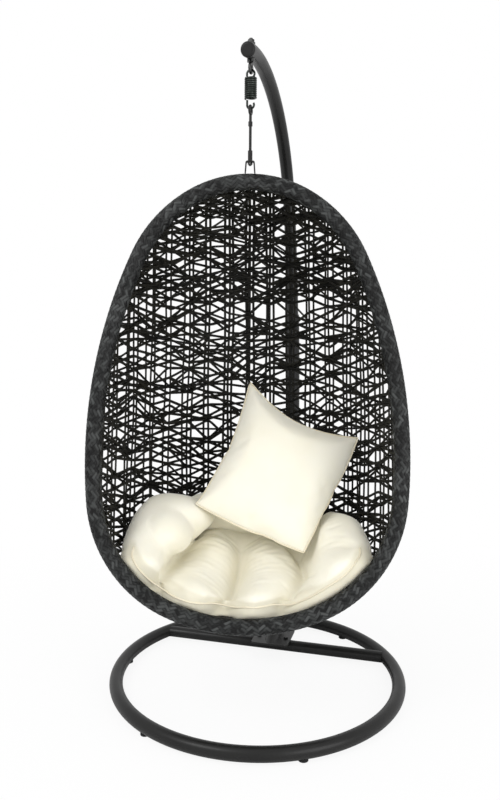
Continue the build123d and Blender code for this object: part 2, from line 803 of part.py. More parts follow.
# ================================================================= cushions
seat_steps = 9
seat_levels = [
    seat_top + (seat_bottom - seat_top) * (1 - math.cos(math.pi * k / seat_steps)) / 2
    for k in range(seat_steps + 1)
]


def seat_reach(level):
    """Half the seat cushion's width: it stands free at its lobes and lies in the bowl below them."""
    half, growth = rim_half_width(level)
    # the inset is measured square to the bowl, so it grows where the bowl's floor flattens
    in_bowl = half - seat_inset * math.hypot(1, growth)
    above_foot = max(0.0, (lobe_foot - level) / (lobe_foot - seat_top))
    free = lobe_top_reach + (lobe_reach - lobe_top_reach) * math.sqrt(1 - above_foot**2)
    return min(in_bowl, free)


dish_lean = math.radians(dish_slope)
with BuildPart() as seat_cushion:
    for level in seat_levels:
        reach = seat_reach(level)
        with BuildSketch(level_plane(level, 0.0)):
            Ellipse(reach, depth_ratio * reach)
            with Locations((0, seat_front)):
                Rectangle(
                    3 * reach, 3 * reach, align=(Align.CENTER, Align.MAX), mode=Mode.SUBTRACT
                )
    loft(ruled=True)
    # the hollow one sits in: a round-bottomed channel that rises towards a back wall
    with BuildSketch(
        basket_plane(
            (0, dish_front_level, seat_front), (1, 0, 0), (0, -math.sin(dish_lean), math.cos(dish_lean))
        )
    ):
        RectangleRounded(2 * dish_half_width, 2 * dish_front_level, dish_corner, align=(Align.CENTER, Align.MAX))
    extrude(amount=dish_length, mode=Mode.SUBTRACT)
    with BuildSketch(basket_plane((0, 0, 0), (0, 0, 1), (1, 0, 0))):
        with BuildLine():
            Polyline(
                (0, -lobe_front_level),
                (lobe_peak_depth, -seat_top),
                (lobe_peak_depth, 0),
                (0, 0),
                close=True,
            )
        make_face()
    extrude(amount=lobe_reach, both=True, mode=Mode.SUBTRACT)
seat_cushion.part.label = "seat_cushion"

# the pillow's own plane in the basket: leaned back, then turned to one side, then rolled in itself
lean = math.radians(pillow_lean)
yaw = math.radians(pillow_yaw)
pillow_face = (-math.sin(yaw) * math.cos(lean), math.sin(lean), math.cos(yaw) * math.cos(lean))
roll = math.radians(pillow_roll)
level_pillow = basket_plane(pillow_place, (math.cos(yaw), 0, math.sin(yaw)), pillow_face)
pillow_plane = Plane(
    origin=level_pillow.origin,
    x_dir=level_pillow.x_dir * math.cos(roll) + level_pillow.y_dir * math.sin(roll),
    z_dir=level_pillow.z_dir,
)
with BuildPart() as throw_pillow:
    for side in (-1, 1):
        with BuildSketch(pillow_plane):
            RectangleRounded(pillow_size, pillow_size, pillow_corner)
        extrude(amount=side * pillow_edge / 2)
        with BuildSketch(pillow_plane.offset(side * pillow_edge / 2)):
            RectangleRounded(pillow_size, pillow_size, pillow_corner)
        with BuildSketch(pillow_plane.offset(side * pillow_thickness * 0.36)):
            RectangleRounded(pillow_size * 0.72, pillow_size * 0.72, pillow_corner * 2)
        with BuildSketch(pillow_plane.offset(side * pillow_thickness / 2)):
            RectangleRounded(pillow_size * 0.36, pillow_size * 0.36, pillow_corner * 2)
        loft()
throw_pillow.part.label = "throw_pillow"

pieces = (
    base_ring,
    ring_glides,
    crossbar,
    spine_tube,
    foot_plate,
    plate_bolt_set,
    foot_gusset,
    lower_pole,
    upper_pole,
    end_cap,
    eye_bolt,
    eye_collar,
    top_washer,
    top_nut,
    spring_top_hook,
    spring_coil,
    spring_low_hook,
    hanging_rod,
    swivel_nut,
    hanger_yoke,
    rim_tube_ring,
    rim_wrap,
    weave_uprights,
    weave_rising,
    weave_falling,
    basket_ribs,
    seat_cushion,
    throw_pillow,
)
for piece in pieces:
    export_step(piece.part, f"parts/{piece.part.label}.step")
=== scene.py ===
"""Looks of the hanging egg chair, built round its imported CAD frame. Metres, +Z up, front towards -Y."""

import json
import math

import bpy
import numpy as np
from mathutils import Matrix, Vector
from mathutils.bvhtree import BVHTree

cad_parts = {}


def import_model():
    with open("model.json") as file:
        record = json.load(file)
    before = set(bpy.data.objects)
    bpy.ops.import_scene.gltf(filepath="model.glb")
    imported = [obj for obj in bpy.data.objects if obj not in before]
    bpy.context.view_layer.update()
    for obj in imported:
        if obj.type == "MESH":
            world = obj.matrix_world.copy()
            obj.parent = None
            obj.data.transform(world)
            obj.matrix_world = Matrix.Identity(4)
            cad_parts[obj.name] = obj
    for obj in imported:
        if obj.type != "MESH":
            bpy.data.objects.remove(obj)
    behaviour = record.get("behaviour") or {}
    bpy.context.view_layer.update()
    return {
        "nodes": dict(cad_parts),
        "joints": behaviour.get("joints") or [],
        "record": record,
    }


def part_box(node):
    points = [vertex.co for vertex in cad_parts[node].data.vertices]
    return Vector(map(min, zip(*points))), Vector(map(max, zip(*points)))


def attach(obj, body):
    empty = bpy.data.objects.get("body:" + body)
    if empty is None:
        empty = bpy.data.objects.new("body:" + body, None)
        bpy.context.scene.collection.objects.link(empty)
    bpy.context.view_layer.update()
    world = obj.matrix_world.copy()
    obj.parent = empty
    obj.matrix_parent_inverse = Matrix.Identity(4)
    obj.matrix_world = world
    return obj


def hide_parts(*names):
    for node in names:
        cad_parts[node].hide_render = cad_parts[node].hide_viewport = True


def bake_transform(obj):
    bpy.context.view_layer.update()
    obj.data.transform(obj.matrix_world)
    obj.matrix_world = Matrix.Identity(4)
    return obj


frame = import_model()
nodes = frame["nodes"]
joints = {joint["name"]: joint for joint in frame["joints"]}
rng = np.random.default_rng(20)

# ------------ the basket's shape, as in the part's source
# All lengths are in metres; u runs across the basket, v down and w rearward from the top of the rim.
YOKE_HEIGHT = 0.058  # from the swivel's pivot down to the rim's middle line
HEADING = math.radians(14.5)  # the basket is turned about the vertical
TILT = math.radians(10)  # and leans back
DEPTH_RATIO = 1.39  # the bowl's depth over half its width, at every level
FAN_DISTANCE = 1.9  # the planes of the stakes meet this far before the rim
# Radius and turn in degrees of the rim's arcs, from the top; the one without a radius closes the outline.
RIM_ARCS = ((0.3176, 31.4), (0.3722, 35.2), (None, 28.7), (0.357, 60.2), (0.5214, 24.5))
STAKE_COUNT = 17
ARC_STEP = 0.0005  # spacing of the points on the rim's arcs
LEVELS = 4001  # entries of the table of the rim's width
LEVEL_STEP = 0.002  # half the span over which the growth of the width is measured

# ------------ the basket's own axes
pivot = Vector(joints["swivel"]["pos_m"])
rim_top = pivot - Vector((0, 0, YOKE_HEIGHT))
across = Vector((math.cos(HEADING), math.sin(HEADING), 0))
rearward = Vector((-math.sin(HEADING) * math.cos(TILT), math.cos(HEADING) * math.cos(TILT), -math.sin(TILT)))
down = rearward.cross(across)
to_world = np.array([across, down, rearward])
origin = np.array(rim_top)


def world(points):
    """Points u, v, w of the basket as points of the chair."""
    return np.asarray(points, float) @ to_world + origin


def local(points):
    """Points of the chair as u, v, w of the basket."""
    return (np.asarray(points, float) - origin) @ to_world.T


# ------------ rim outline
def chain_rim():
    """The right half of the rim as arcs from the top: radius, centre u, v, first and last heading."""
    def span(radius, start, turn):
        return radius * (math.sin(math.radians(start + turn)) - math.sin(math.radians(start)))

    start, total, flank = 0.0, 0.0, None
    for radius, turn in RIM_ARCS:
        if radius is None:
            flank = span(1, start, turn)
        else:
            total += span(radius, start, turn)
        start += turn
    arcs, start, u, v = [], 0.0, 0.0, 0.0
    for radius, turn in RIM_ARCS:
        radius = radius or -total / flank
        a, b = math.radians(start), math.radians(start + turn)
        cu, cv = u - radius * math.sin(a), v + radius * math.cos(a)
        arcs.append((radius, cu, cv, a, b))
        u, v = cu + radius * math.sin(b), cv - radius * math.cos(b)
        start += turn
    return arcs


rim_arcs = chain_rim()
rim_height = rim_arcs[-1][2] - rim_arcs[-1][0] * math.cos(rim_arcs[-1][4])


def sample_rim(step):
    """The rim's middle line all round as u, v and outward u, v, in even steps of about that length."""
    side = []
    for radius, cu, cv, a, b in rim_arcs:
        headings = np.linspace(a, b, max(4, int(radius * (b - a) / ARC_STEP)), endpoint=False)
        side.append(np.stack([cu + radius * np.sin(headings), cv - radius * np.cos(headings),
                              np.sin(headings), -np.cos(headings)], axis=1))
    side = np.concatenate(side + [np.array([[0, rim_height, 0, 1]])])
    mirrored = side[-2:0:-1] * np.array([-1, 1, -1, 1])
    line = np.concatenate([side, mirrored, side[:1]])
    lengths = np.concatenate([[0], np.cumsum(np.linalg.norm(np.diff(line[:, :2], axis=0), axis=1))])
    at = np.linspace(0, lengths[-1], int(round(lengths[-1] / step)), endpoint=False)
    even = np.stack([np.interp(at, lengths, line[:, k]) for k in range(4)], axis=1)
    even[:, 2:] /= np.linalg.norm(even[:, 2:], axis=1, keepdims=True)
    return even


def tabled_widths():
    """Levels from the top of the rim to its bottom and half its width at each."""
    levels = np.linspace(0, rim_height, LEVELS)
    widths = np.zeros_like(levels)
    for radius, cu, cv, a, b in rim_arcs:
        low, high = cv - radius * math.cos(a), cv - radius * math.cos(b)
        inside = (levels >= low - 1e-9) & (levels <= high + 1e-9)
        widths[inside] = cu + np.sqrt(np.maximum(radius**2 - (levels[inside] - cv) ** 2, 0))
    widths[0] = widths[-1] = 0
    return levels, widths


level_table, width_table = tabled_widths()
widest = width_table.max()


def half_width(v):
    """Half the bowl's width at a level."""
    return np.interp(v, level_table, width_table, left=0, right=0)


def width_growth(v):
    """How fast half the bowl's width grows down the bowl."""
    below, above = np.clip(v + LEVEL_STEP, 0, rim_height), np.clip(v - LEVEL_STEP, 0, rim_height)
    return (half_width(below) - half_width(above)) / (2 * LEVEL_STEP)


def bowl_normal(points):
    """Outward direction of the bowl at points u, v, w."""
    u, v, w = points.T
    normal = np.stack([u, -half_width(v) * width_growth(v), w / DEPTH_RATIO**2], axis=1)
    return normal / np.maximum(np.linalg.norm(normal, axis=1, keepdims=True), 1e-9)


def bowl_room(points):
    """How far inside the bowl points are."""
    u, v, w = points.T
    steepness = 2 * np.sqrt(u**2 + (half_width(v) * width_growth(v)) ** 2 + (w / DEPTH_RATIO**2) ** 2)
    return (half_width(v) ** 2 - u**2 - (w / DEPTH_RATIO) ** 2) / np.maximum(steepness, 1e-6)


def fan_depth(t, v):
    """Where the plane u = t (FAN_DISTANCE + w) meets the bowl at a level: w, or below 0 for nowhere."""
    a = t**2 + 1 / DEPTH_RATIO**2
    b = 2 * t**2 * FAN_DISTANCE
    c = (t * FAN_DISTANCE) ** 2 - half_width(v) ** 2
    root = b * b - 4 * a * c
    return np.where(root > 0, (-b + np.sqrt(np.maximum(root, 0))) / (2 * a), -1.0)


# ------------ mesh helpers
def mesh_object(name, vertices, faces, tone=None):
    """A smooth mesh object from points of the chair, with an optional value per point: the strands' own
    shades, and on the rim's plait and the seat also painted shade.
    """
    mesh = bpy.data.meshes.new(name)
    mesh.from_pydata([tuple(map(float, p)) for p in vertices], [], [tuple(map(int, f)) for f in faces])
    mesh.validate()
    if tone is not None:
        shades = mesh.attributes.new("tone", "FLOAT", "POINT")
        shades.data.foreach_set("value", np.asarray(tone, np.float32))
    mesh.shade_smooth()
    mesh.update()
    piece = bpy.data.objects.new(name, mesh)
    bpy.context.scene.collection.objects.link(piece)
    return piece


def frames_along(points, normals):
    """Sideways and upward directions along a line, square to it."""
    tangent = np.gradient(points, axis=0)
    tangent /= np.maximum(np.linalg.norm(tangent, axis=1, keepdims=True), 1e-12)
    side = np.cross(tangent, normals)
    side /= np.maximum(np.linalg.norm(side, axis=1, keepdims=True), 1e-12)
    return side, np.cross(side, tangent)


def tube(points, normals, half_across, half_thick, sides, closed=False):
    """Vertices and faces of a tube with an oval section round a line."""
    side, up = frames_along(points, normals)
    angles = np.linspace(0, 2 * math.pi, sides, endpoint=False)
    ring = (np.cos(angles)[None, :, None] * side[:, None, :] * half_across
            + np.sin(angles)[None, :, None] * up[:, None, :] * half_thick)
    vertices = (points[:, None, :] + ring).reshape(-1, 3)
    count = len(points)
    faces = []
    for k in range(count if closed else count - 1):
        for j in range(sides):
            i, n = k * sides, (k + 1) % count * sides
            faces.append((i + j, i + (j + 1) % sides, n + (j + 1) % sides, n + j))
    if not closed:
        faces.append(tuple(reversed(range(sides))))
        faces.append(tuple((count - 1) * sides + j for j in range(sides)))
    return vertices, faces


class Bundle:
    """Many tubes gathered into one mesh, each in its own shade."""

    def __init__(self):
        self.vertices, self.faces, self.tones, self.count = [], [], [], 0

    def add(self, vertices, faces, tone):
        self.vertices.append(vertices)
        self.faces += [tuple(i + self.count for i in face) for face in faces]
        self.tones.append(np.full(len(vertices), tone))
        self.count += len(vertices)

    def build(self, name):
        return mesh_object(name, np.concatenate(self.vertices), self.faces, np.concatenate(self.tones))


# ------------ materials
def filled(tree, node, values):
    """A node whose inputs are set to values or linked to sockets."""
    for key, value in values.items():
        if isinstance(value, bpy.types.NodeSocket):
            tree.links.new(value, node.inputs[key])
        else:
            node.inputs[key].default_value = value
    return node


def added(tree, kind, values):
    """A new shader node with its inputs filled."""
    return filled(tree, tree.nodes.new("ShaderNode" + kind), values)


def material(name, base, rough, metallic=0.0, coat=0.0, sheen=0.0, gloss=0.5):
    """A plain Principled material with its node tree and shader; the caller adds the rest."""
    made = bpy.data.materials.new(name)
    made.use_nodes = True
    tree = made.node_tree
    shader = filled(tree, tree.nodes["Principled BSDF"], {
        "Base Color": (*base, 1), "Roughness": rough, "Metallic": metallic,
        "Coat Weight": coat, "Sheen Weight": sheen, "Specular IOR Level": gloss,
    })
    return made, tree, shader


def own_axes(tree):
    """Places in the piece's own axes."""
    return tree.nodes.new("ShaderNodeTexCoord").outputs["Object"]


def noise(tree, scale, detail, stretch=(1, 1, 1)):
    """Noise in the piece's own axes, from 0 to 1."""
    mapping = added(tree, "Mapping", {"Vector": own_axes(tree), "Scale": stretch})
    texture = added(tree, "TexNoise", {"Vector": mapping.outputs["Vector"], "Scale": scale, "Detail": detail})
    return texture.outputs["Fac"]


def ramp(tree, value, stops):
    """A colour ramp from (place, colour) stops."""
    node = added(tree, "ValToRGB", {"Fac": value})
    elements = node.color_ramp.elements
    for element, (place, colour) in zip(elements, stops):
        element.position = place
        element.color = (*colour, 1)
    return node.outputs["Color"]


def spread(tree, value, low, high, start=0.0, end=1.0):
    """A value between start and end spread over the range from low to high."""
    values = {"Value": value, "From Min": start, "From Max": end, "To Min": low, "To Max": high}
    return added(tree, "MapRange", values).outputs["Result"]


def bump(tree, shader, height, distance, strength):
    """Relief added to what the shader's surface already has."""
    node = added(tree, "Bump", {"Height": height, "Distance": distance, "Strength": strength})
    if shader.inputs["Normal"].is_linked:
        tree.links.new(shader.inputs["Normal"].links[0].from_socket, node.inputs["Normal"])
    tree.links.new(node.outputs["Normal"], shader.inputs["Normal"])


def mixed(tree, factor, first, second):
    """A colour socket mixed with a plain colour by a factor."""
    node = tree.nodes.new("ShaderNodeMix")
    node.data_type = "RGBA"
    return filled(tree, node, {"Factor": factor, "A": first, "B": (*second, 1)}).outputs["Result"]


def kept_tone_and_painted_shade(tree):
    """The value kept at the points of the mesh: the strands' own shades, and painted shade on the seat and in
    the gaps of the rim's plait.
    """
    node = tree.nodes.new("ShaderNodeAttribute")
    node.attribute_name = "tone"
    return node.outputs["Fac"]


def paint():
    """Satin black powder coat with a faint orange peel and dusty patches."""
    dark, light = (0.005, 0.005, 0.0048), (0.013, 0.013, 0.0125)
    made, tree, shader = material("black_paint", light, 0.36, coat=0.05, gloss=0.28)
    tree.links.new(ramp(tree, noise(tree, 6, 5), [(0.3, dark), (0.75, light)]), shader.inputs["Base Color"])
    tree.links.new(spread(tree, noise(tree, 14, 4), 0.28, 0.46), shader.inputs["Roughness"])
    bump(tree, shader, noise(tree, 900, 2), 0.0002, 0.35)
    return made


def metal(name, dark, light, rough_low, rough_high):
    """Plated steel with a patchy gloss."""
    made, tree, shader = material(name, light, rough_high, metallic=1.0)
    tree.links.new(ramp(tree, noise(tree, 60, 6), [(0.3, dark), (0.7, light)]), shader.inputs["Base Color"])
    tree.links.new(spread(tree, noise(tree, 150, 4), rough_low, rough_high), shader.inputs["Roughness"])
    bump(tree, shader, noise(tree, 500, 3, (1, 1, 8)), 0.0001, 0.4)
    return made


def moulded(name, base, rough):
    """Finely grained plastic or rubber."""
    made, tree, shader = material(name, base, rough, gloss=0.3)
    light = tuple(1.7 * part for part in base)
    tree.links.new(ramp(tree, noise(tree, 40, 4), [(0.3, base), (0.8, light)]), shader.inputs["Base Color"])
    bump(tree, shader, noise(tree, 1200, 2), 0.0002, 0.5)
    return made


def wicker(name, dark, light, worn, rough):
    """Extruded resin strands, each in the shade kept on its mesh, with paler rubbed spots; on the rim's plait
    that kept value also holds painted shade in the gaps between strips.
    """
    made, tree, shader = material(name, dark, rough, gloss=0.22)
    tones = ramp(tree, kept_tone_and_painted_shade(tree), [(0.0, dark), (1.0, light)])
    spots = ramp(tree, noise(tree, 70, 5), [(0.52, (0, 0, 0)), (0.78, (1, 1, 1))])
    tree.links.new(mixed(tree, spots, tones, worn), shader.inputs["Base Color"])
    tree.links.new(spread(tree, noise(tree, 120, 3), rough - 0.1, rough + 0.12), shader.inputs["Roughness"])
    bump(tree, shader, noise(tree, 700, 3), 0.0003, 0.5)
    return made


def cloth(name, light, shade, deep, thread):
    """Ivory canvas, finely woven and mottled, with a little sheen; deep is the painted shade mixed into its
    bands and folds.
    """
    made, tree, shader = material(name, light, 0.88, sheen=0.25)
    filled(tree, shader, {"Sheen Roughness": 0.45, "Subsurface Weight": 0.06,
                          "Subsurface Radius": (0.012, 0.010, 0.006)})
    patches = ramp(tree, noise(tree, 9, 5), [(0.3, shade), (0.65, light)])
    # Painted shade: where the mesh keeps a value, the colour turns to the deep one, in the seat's band below
    # the seam and in its folds.
    tree.links.new(mixed(tree, kept_tone_and_painted_shade(tree), patches, deep), shader.inputs["Base Color"])
    for direction in ("X", "Y", "Z"):
        threads = {"Vector": own_axes(tree), "Scale": thread / 2, "Distortion": 1.5, "Detail": 1.0}
        wave = added(tree, "TexWave", threads)
        wave.bands_direction = direction
        bump(tree, shader, wave.outputs["Fac"], 0.00012, 0.3)
    bump(tree, shader, noise(tree, 45, 5), 0.0012, 0.35)
    return made


BLACK = paint()
STEEL = metal("steel", (0.035, 0.036, 0.035), (0.12, 0.12, 0.118), 0.25, 0.45)
SPRING = metal("zinc_spring", (0.015, 0.018, 0.016), (0.060, 0.068, 0.062), 0.25, 0.40)
CAP = moulded("cap_plastic", (0.006, 0.006, 0.006), 0.45)
RUBBER = moulded("glide_rubber", (0.01, 0.01, 0.01), 0.8)
STRAND = wicker("wicker_strand", (0.004, 0.004, 0.003), (0.016, 0.015, 0.011), (0.034, 0.032, 0.026), 0.48)
WRAP = wicker("wicker_wrap", (0.0015, 0.0015, 0.0015), (0.070, 0.074, 0.073), (0.050, 0.053, 0.052), 0.40)
# The third colour of each cloth is the painted shade for its bands and folds.
IVORY = cloth("ivory_cloth", (0.92, 0.89, 0.765), (0.90, 0.862, 0.715), (0.68, 0.635, 0.48), thread=420)
PIPING = cloth("ivory_piping", (0.80, 0.74, 0.58), (0.72, 0.65, 0.48), (0.68, 0.635, 0.48), thread=800)

SLOT_FINISH = {
    "black_paint": BLACK,
    "steel": STEEL,
    "zinc_spring": SPRING,
    "cap_plastic": CAP,
    "glide_rubber": RUBBER,
    "wicker": STRAND,
    "ivory_cloth": IVORY,
}


def dress(piece, finish):
    """A piece gets one finish all over."""
    piece.data.materials.clear()
    piece.data.materials.append(finish)


for subpart in frame["record"]["subparts"]:
    dress(nodes[subpart["node"]], SLOT_FINISH[subpart["material_slot"]])


def place(piece, finish, body, slot, *replaced):
    """A finished piece rides on its body and stands for the nodes it replaces."""
    dress(piece, finish)
    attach(piece, body)
    if replaced:
        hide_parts(*replaced)


# ------------ weave
STRAND_HALF = 0.0045  # half a strand's width
STRAND_THIN = 0.0027  # half its thickness
UPRIGHT_HALF = STRAND_HALF * 0.94
ROW = 0.0205  # pitch of the cross strands at the rim
DENSE_CROWN = 0.36  # the crown has more cross strands down to here
SIGHT_LEVEL = 0.763  # the planes of the rows meet at this level, FAN_DISTANCE before the rim
SEARCH_DEPTH, HALVINGS = 0.8, 26  # where the search for the bowl starts, and its steps
UPRIGHT_POINTS = 130
SHORTEST_UPRIGHT = 8  # in levels of the rim's table; shorter ones are left out
STAKE_STRANDS = (-0.0145, 0.0, 0.0145)  # places of the strands at one stake
STAKE_STRAY = 0.003  # how far they stray from there
STAKE_REACH = FAN_DISTANCE + 0.5  # both are meant at this distance from the point of the fan
THIRD_STRAND = 0.75  # share of the stakes with three strands, not two
SPARE_UPRIGHT = 0.35  # share of the gaps between stakes with a strand of their own
SIDE_UPRIGHTS = (0.24, 0.46, 0.66, 0.84)  # shares of the way from the last stake to the side
UPRIGHT_WOBBLE = (0.0005, 0.0016)  # how far an upright strays along its length, in the fan
UPRIGHT_LIFT = 0.0008  # and off the bowl
KNOT_STRAY = 0.34  # how far a knot strays from its row, in rows
KNOT_MARGIN = 6  # rows of knots above the first row and below the last
ROW_STEPS = [-2, -1, -1, 0, 1, 1, 2]  # steps of a cross strand from stake to stake
ROW_LIMIT = 2  # rows that it may stray from its own
SUBSTEPS = 6  # its points from stake to stake
OVER_UNDER = 0.0034  # how far it passes before and behind the stakes
END_MARGIN = 0.0005  # and how far it ends from the rim's top and bottom
LAYER_LIFT, CROWN_LIFT = 0.0024, 0.001  # how far the layers lie off the bowl


def fan_of_stakes():
    """The stakes' places in the fan, from left to right, evenly spaced round the bowl's widest level."""
    angles = [math.pi * (k + 1) / (STAKE_COUNT + 1) for k in range(STAKE_COUNT)]
    return np.sort([widest * math.cos(angle) / (FAN_DISTANCE + DEPTH_RATIO * widest * math.sin(angle))
                    for angle in angles])


stake_fan = fan_of_stakes()
rim_fan = 1.02 * widest / FAN_DISTANCE  # a little past the sides, where the cross strands end
knot_fan = np.concatenate([[-rim_fan], stake_fan, [rim_fan]])
knot_places = np.arange(-1, STAKE_COUNT + 1)
row_count = int(rim_height / ROW) + 1
dense_rows = int(DENSE_CROWN / ROW)
knot_shift = rng.uniform(-KNOT_STRAY, KNOT_STRAY, (STAKE_COUNT + 2, row_count + 2 * KNOT_MARGIN))


def shell_points(fan, row):
    """Points of the bowl on the planes fan and row, which all pass through one point before the rim."""
    low, high = np.zeros_like(row), np.full_like(row, SEARCH_DEPTH)
    for _ in range(HALVINGS):
        middle = (low + high) / 2
        level = row + (row - SIGHT_LEVEL) * middle / FAN_DISTANCE
        inside = (level > 0) & (level < rim_height)
        inside &= fan_depth(fan, np.clip(level, 0, rim_height)) > middle
        low, high = np.where(inside, middle, low), np.where(inside, high, middle)
    return np.stack([fan * (FAN_DISTANCE + low), row + (row - SIGHT_LEVEL) * low / FAN_DISTANCE, low], axis=1)


def upright(t, wobble, phase):
    """The line of one vertical strand from rim to rim."""
    reached = level_table[width_table > abs(t) * FAN_DISTANCE]
    if len(reached) < SHORTEST_UPRIGHT:
        return None
    row = np.linspace(reached[0], reached[-1], UPRIGHT_POINTS)
    still_ends = np.sin(np.linspace(0, math.pi, UPRIGHT_POINTS)) ** 0.5
    return shell_points(t + wobble * np.sin(row * 11 + phase) * still_ends, row)


def wander(start):
    """A height at every stake: the strand zigzags a row or two up or down from stake to stake."""
    middle = STAKE_COUNT // 2 + 1
    rows = np.full(STAKE_COUNT + 2, start)
    for direction in (1, -1):
        for k in range(1, middle + 1):
            last = rows[middle + direction * (k - 1)]
            step = rng.choice(ROW_STEPS)
            if abs(last - start + step) > ROW_LIMIT:
                step = -int(np.sign(last - start))
            rows[middle + direction * k] = last + step
    columns = np.clip(rows + KNOT_MARGIN, 0, row_count + 2 * KNOT_MARGIN - 1)
    return (rows + 0.5 + knot_shift[np.arange(STAKE_COUNT + 2), columns]) * ROW


def cross_strand(levels):
    """The line of one strand from rim to rim through a height at each stake, with its place among them."""
    among = np.linspace(-1, STAKE_COUNT, (STAKE_COUNT + 1) * SUBSTEPS + 1)
    fan = np.interp(among, knot_places, knot_fan)
    row = np.interp(among, knot_places, levels)
    row[1:-1] = (row[:-2] + 4 * row[1:-1] + row[2:]) / 6
    spare = np.where((row > 0) & (row < rim_height), half_width(row) - np.abs(fan) * FAN_DISTANCE, -1.0)
    first = last = len(among) // 2
    if spare[first] <= 0:
        return None
    while spare[first - 1] > 0:
        first -= 1
    while spare[last + 1] > 0:
        last += 1
    at = np.arange(first, last + 1, dtype=float)
    for outer, inner in ((first - 1, first), (last + 1, last)):
        share = spare[inner] / max(spare[inner] - spare[outer], 1e-6)
        at = np.append(at, inner + (outer - inner) * share)
    at = np.sort(at)
    index = np.arange(len(among))
    fan, row, among = (np.interp(at, index, values) for values in (fan, row, among))
    return shell_points(fan, np.clip(row, END_MARGIN, rim_height - END_MARGIN)), among


def add_strand(bundle, points, lift, half):
    """A strand along points of the bowl, lifted off it, in a shade of its own."""
    normals = bowl_normal(np.maximum(points, [-9, 0.001, 0]))
    points = points + normals * np.reshape(lift, (-1, 1))
    vertices, faces = tube(world(points), normals @ to_world, half, STRAND_THIN, sides=6)
    bundle.add(vertices, faces, float(rng.uniform(0, 1)))


def add_upright(bundle, t):
    """A vertical strand at a place in the fan."""
    points = upright(t, rng.uniform(*UPRIGHT_WOBBLE), rng.uniform(0, 6.28))
    if points is not None:
        add_strand(bundle, points, rng.uniform(-UPRIGHT_LIFT, UPRIGHT_LIFT), UPRIGHT_HALF)


def add_row(bundle, k, lift):
    """A cross strand that starts in a row and passes over one stake and under the next."""
    made = cross_strand(wander(k))
    if made is not None:
        points, among = made
        lift = lift + OVER_UNDER * np.cos(math.pi * among + rng.choice([0, math.pi]))
        add_strand(bundle, points, lift, STRAND_HALF * rng.uniform(0.86, 1.06))


uprights, rising, falling = Bundle(), Bundle(), Bundle()
for k, t in enumerate(stake_fan):
    for offset in STAKE_STRANDS[:3 if rng.uniform() < THIRD_STRAND else 2]:
        add_upright(uprights, t + (offset + rng.uniform(-STAKE_STRAY, STAKE_STRAY)) / STAKE_REACH)
    if k and rng.uniform() < SPARE_UPRIGHT:
        add_upright(uprights, t - (t - stake_fan[k - 1]) * rng.uniform(0.42, 0.58))
for hand in (-1, 1):
    for share in SIDE_UPRIGHTS:
        add_upright(uprights, hand * (stake_fan[-1] + (widest / FAN_DISTANCE - stake_fan[-1]) * share))

# Rows from the top, bundle and lift of each layer of cross strands.
LAYERS = (
    (row_count, rising, -LAYER_LIFT),
    (row_count, falling, LAYER_LIFT),
    (row_count, rising, 0.0),
    (dense_rows, falling, -CROWN_LIFT),
    (dense_rows, rising, CROWN_LIFT),
)
for rows, bundle, lift in LAYERS:
    for k in range(rows):
        add_row(bundle, k, lift)

place(uprights.build("weave_stakes"), STRAND, "basket", "wicker", "weave_uprights")
place(rising.build("weave_strands_rising"), STRAND, "basket", "wicker", "weave_rising")
place(falling.build("weave_strands_falling"), STRAND, "basket", "wicker", "weave_falling")

# ------------ plaited wrap of the rim
PLAIT_STRIPS = 12  # strips each way round the tube
PLAIT_TURNS = 18  # turns of each round the tube, once about the rim
PLAIT_CORE = 0.0204  # radius down between the strips
PLAIT_RISE = 0.0027  # how far their crowns stand above it
PLAIT_STEP, PLAIT_SIDES = 0.0026, 84  # cells of the mesh along and round the rim
PLAIT_SHADES = 997  # shades in which the strips are drawn


def plaited_rim():
    """The rim's tube as two sets of strips that pass over two and under two."""
    line = sample_rim(PLAIT_STEP)
    count, sides = len(line), PLAIT_SIDES
    s = np.arange(count) / count
    phi = np.arange(sides) / sides
    a = PLAIT_STRIPS * (phi[None, :] + PLAIT_TURNS * s[:, None])
    b = PLAIT_STRIPS * (phi[None, :] - PLAIT_TURNS * s[:, None])
    strip_a, strip_b = np.floor(a), np.floor(b)
    first = np.mod(strip_a - strip_b, 4) < 2
    place_across = np.where(first, a - strip_a, b - strip_b)
    crown = 1 - np.abs(2 * place_across - 1) ** 3
    radius = PLAIT_CORE + PLAIT_RISE * crown
    shades = rng.uniform(0, 1, (2, PLAIT_SHADES))
    strip = np.where(first, strip_a, strip_b).astype(int) % PLAIT_SHADES
    tone = np.where(first, shades[0][strip], shades[1][strip])
    lines = 0.5 + 0.5 * np.sin(place_across * 25 + tone * 30)  # fine lines along each strip
    # Painted shade: each strip darkens towards its edges, where it dips into the gaps between strips.
    tone = np.clip(crown * (0.04 + 0.80 * tone**3 + 0.20 * lines * tone), 0, 1)  # darkest in the gaps
    middle = np.stack([line[:, 0], line[:, 1], np.zeros(count)], axis=1)
    out = np.stack([line[:, 2], line[:, 3], np.zeros(count)], axis=1)
    back = np.array([0.0, 0.0, 1.0])
    angle = 2 * math.pi * phi
    points = (middle[:, None, :] + radius[:, :, None]
              * (np.cos(angle)[None, :, None] * out[:, None, :] + np.sin(angle)[None, :, None] * back))
    faces = []
    for k in range(count):
        n = (k + 1) % count
        for j in range(sides):
            m = (j + 1) % sides
            faces.append((k * sides + j, n * sides + j, n * sides + m, k * sides + m))
    return mesh_object("rim_plait", world(points.reshape(-1, 3)), faces, tone.reshape(-1))


place(plaited_rim(), WRAP, "basket", "wicker", "rim_wrap")

# ------------ spring
SPRING_WIRE = 0.003  # radius of the wire
SPRING_TURNS = 10
SPRING_STEPS = 24  # points of one turn

coil_low, coil_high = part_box("spring_coil")


